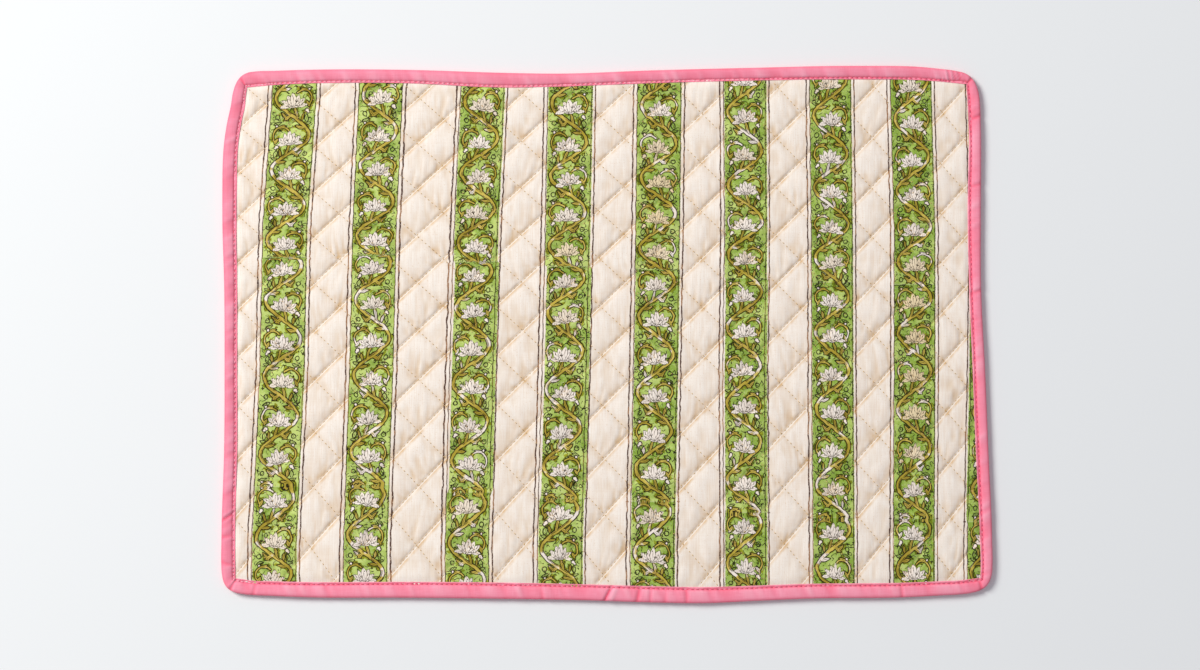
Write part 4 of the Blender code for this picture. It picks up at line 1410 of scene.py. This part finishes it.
class PLACEMAT_OT_quilting(Operator):
    """Sew the quilting, which shows as tan stitches on both faces"""
    bl_idname = "placemat.quilting"
    bl_label = "Quilting thread"

    def execute(self, context):
        quilt = millimetres(context.scene.placemat_quilting)
        colours = context.scene.placemat_colours
        material = woven("tan_cotton_thread", plain_cotton, colours.tan, colours.tan)
        # On the back the stitches lie between those of the top.
        for name, heights, offset, lifts in (("quilting_thread", top_heights, 0.0, TOP_LIFTS_MM),
                                             ("quilting_thread_back", back_heights, 0.5, BACK_LIFTS_MM)):
            parts = []
            for family, lift in enumerate(lifts):
                middles, along, depth = seam_runs(family, quilt.stitch_pitch, offset)
                z = np.maximum(heights(middles, depth, quilt) + lift, quilt.stitch_width / 2)
                parts.append((np.column_stack((middles, z)), along))
            middles, along = (np.concatenate(column) for column in zip(*parts))
            sew(name, middles, along, quilt.stitch_length, quilt.stitch_width, material, "printed_cotton")
        return {"FINISHED"}


class PLACEMAT_OT_topstitching(Operator):
    """Sew the line of stitches that holds the binding"""
    bl_idname = "placemat.topstitching"
    bl_label = "Binding thread"

    def execute(self, context):
        sizes = millimetres(context.scene.placemat_binding)
        colours = context.scene.placemat_colours
        places = (np.arange(round(ROUND_MM / sizes.stitch_pitch)) + 0.5) * sizes.stitch_pitch
        across = 1 - stitch_inset(places) / band_width(places)
        base = np.interp(across, *np.array(TOP_SKIN[1:]).T)
        height = binding_heights(places, across, base, sizes) + STRIP_LIFT_MM
        middles = np.column_stack((band_point(places, across), height))
        along = np.roll(middles, -1, axis=0) - np.roll(middles, 1, axis=0)
        along[:, 2] = 0
        x, y, _ = middles.T
        # Stitches on the sides facing the light get the thread with the painted highlight.
        light = (y > HIGHLIGHT_TOP_MM.above) & (x < HIGHLIGHT_TOP_MM.left_of) | (x < HIGHLIGHT_SIDE_MM)
        under = middles.copy()
        under[:, 2] = sizes.stitch_width / 2 + UNDER_LIFT_MM
        rose = woven("rose_cotton_thread", plain_cotton, colours.rose, colours.rose)
        highlighted = woven("pale_rose_cotton_thread", plain_cotton, colours.pale_rose, colours.pale_rose)
        for name, at, way, material in (("binding_thread", middles[~light], along[~light], rose),
                                        ("binding_thread_pale", middles[light], along[light], highlighted),
                                        ("binding_thread_back", under, along, rose)):
            sew(name, at, way, sizes.stitch_length, sizes.stitch_width, material, "pink_binding")
        return {"FINISHED"}


# ---- stage -------------------------------------------------------------------------------------
class PLACEMAT_OT_stage(Operator):
    """Set the floor, the studio light and the camera above"""
    bl_idname = "placemat.stage"
    bl_label = "Stage"

    def execute(self, context):
        scene, studio = context.scene, context.scene.placemat_studio
        deselect()
        bpy.ops.mesh.primitive_plane_add(size=FLOOR_M, location=(0, 0, -FLOOR_DROP_MM * MM))
        floor = context.object
        floor.name = "floor"
        # Pale uncoated board: it scatters light evenly, so only soft shadows show on it.
        material, shader, _ = matt_material("pale_matt_board", BOARD_ROUGHNESS)
        shader.inputs["Base Color"].default_value = colour(studio.floor)
        floor.data.materials.append(material)
        floor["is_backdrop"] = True

        scene.world = bpy.data.worlds.new("studio")
        scene.world.use_nodes = True
        background = scene.world.node_tree.nodes["Background"]
        background.inputs["Color"].default_value = colour(studio.fill)
        background.inputs["Strength"].default_value = studio.fill_strength

        lamp = bpy.data.lights.new("window_light", "AREA")
        lamp.shape = "DISK"
        lamp.size = studio.key_size
        lamp.energy = studio.key_power
        lamp.color = studio.key
        light = bpy.data.objects.new("window_light", lamp)
        scene.collection.objects.link(light)
        level = LIGHT_FROM.normalized() * math.cos(studio.key_elevation)
        light.location = (level + Vector((0, 0, math.sin(studio.key_elevation)))) * studio.key_distance
        light.rotation_euler = (-light.location).to_track_quat("-Z", "Y").to_euler()

        view = bpy.data.cameras.new("above")
        view.lens = LENS_MM
        view.sensor_width = SENSOR_MM
        camera = bpy.data.objects.new("above", view)
        scene.collection.objects.link(camera)
        distance_mm = FRAME_PIXELS * PIXEL_MM * LENS_MM / SENSOR_MM
        camera.location = Vector((*VIEW_CENTRE_MM, distance_mm)) * MM
        scene.camera = camera
        scene.view_settings.view_transform = "Standard"
        return {"FINISHED"}


SETTINGS = {
    "placemat_quilting": PlacematQuilting,
    "placemat_binding": PlacematBinding,
    "placemat_colours": PlacematColours,
    "placemat_studio": PlacematStudio,
}
OPERATORS = (
    PLACEMAT_OT_stage, PLACEMAT_OT_backing, PLACEMAT_OT_printed_top, PLACEMAT_OT_binding,
    PLACEMAT_OT_quilting, PLACEMAT_OT_topstitching,
)


class PLACEMAT_PT_panel(Panel):
    """Sizes, colours and pieces of the placemat"""
    bl_label = "Placemat"
    bl_idname = "PLACEMAT_PT_panel"
    bl_space_type = "VIEW_3D"
    bl_region_type = "UI"
    bl_category = "Placemat"

    def draw(self, context):
        for group, cls in SETTINGS.items():
            for name in cls.__annotations__:
                self.layout.prop(getattr(context.scene, group), name)
        for operator in OPERATORS:
            self.layout.operator(operator.bl_idname)


def register():
    """Register every class and hang the settings on the scene."""
    for cls in (*SETTINGS.values(), *OPERATORS, PLACEMAT_PT_panel):
        bpy.utils.register_class(cls)
    for group, cls in SETTINGS.items():
        setattr(bpy.types.Scene, group, PointerProperty(type=cls))


def unregister():
    """Undo register."""
    for group in SETTINGS:
        delattr(bpy.types.Scene, group)
    for cls in (PLACEMAT_PT_panel, *reversed(OPERATORS), *reversed(SETTINGS.values())):
        bpy.utils.unregister_class(cls)


def main():
    """Make every piece in turn and work out the box round what is shown."""
    register()
    bpy.ops.placemat.stage()
    bpy.ops.placemat.backing()
    bpy.ops.placemat.printed_top()
    bpy.ops.placemat.binding()
    bpy.ops.placemat.quilting()
    bpy.ops.placemat.topstitching()
    visual_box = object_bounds()
    [[list(corner) for corner in box] for box in (CAD_BOX, visual_box)]


if __name__ == "__main__":
    main()
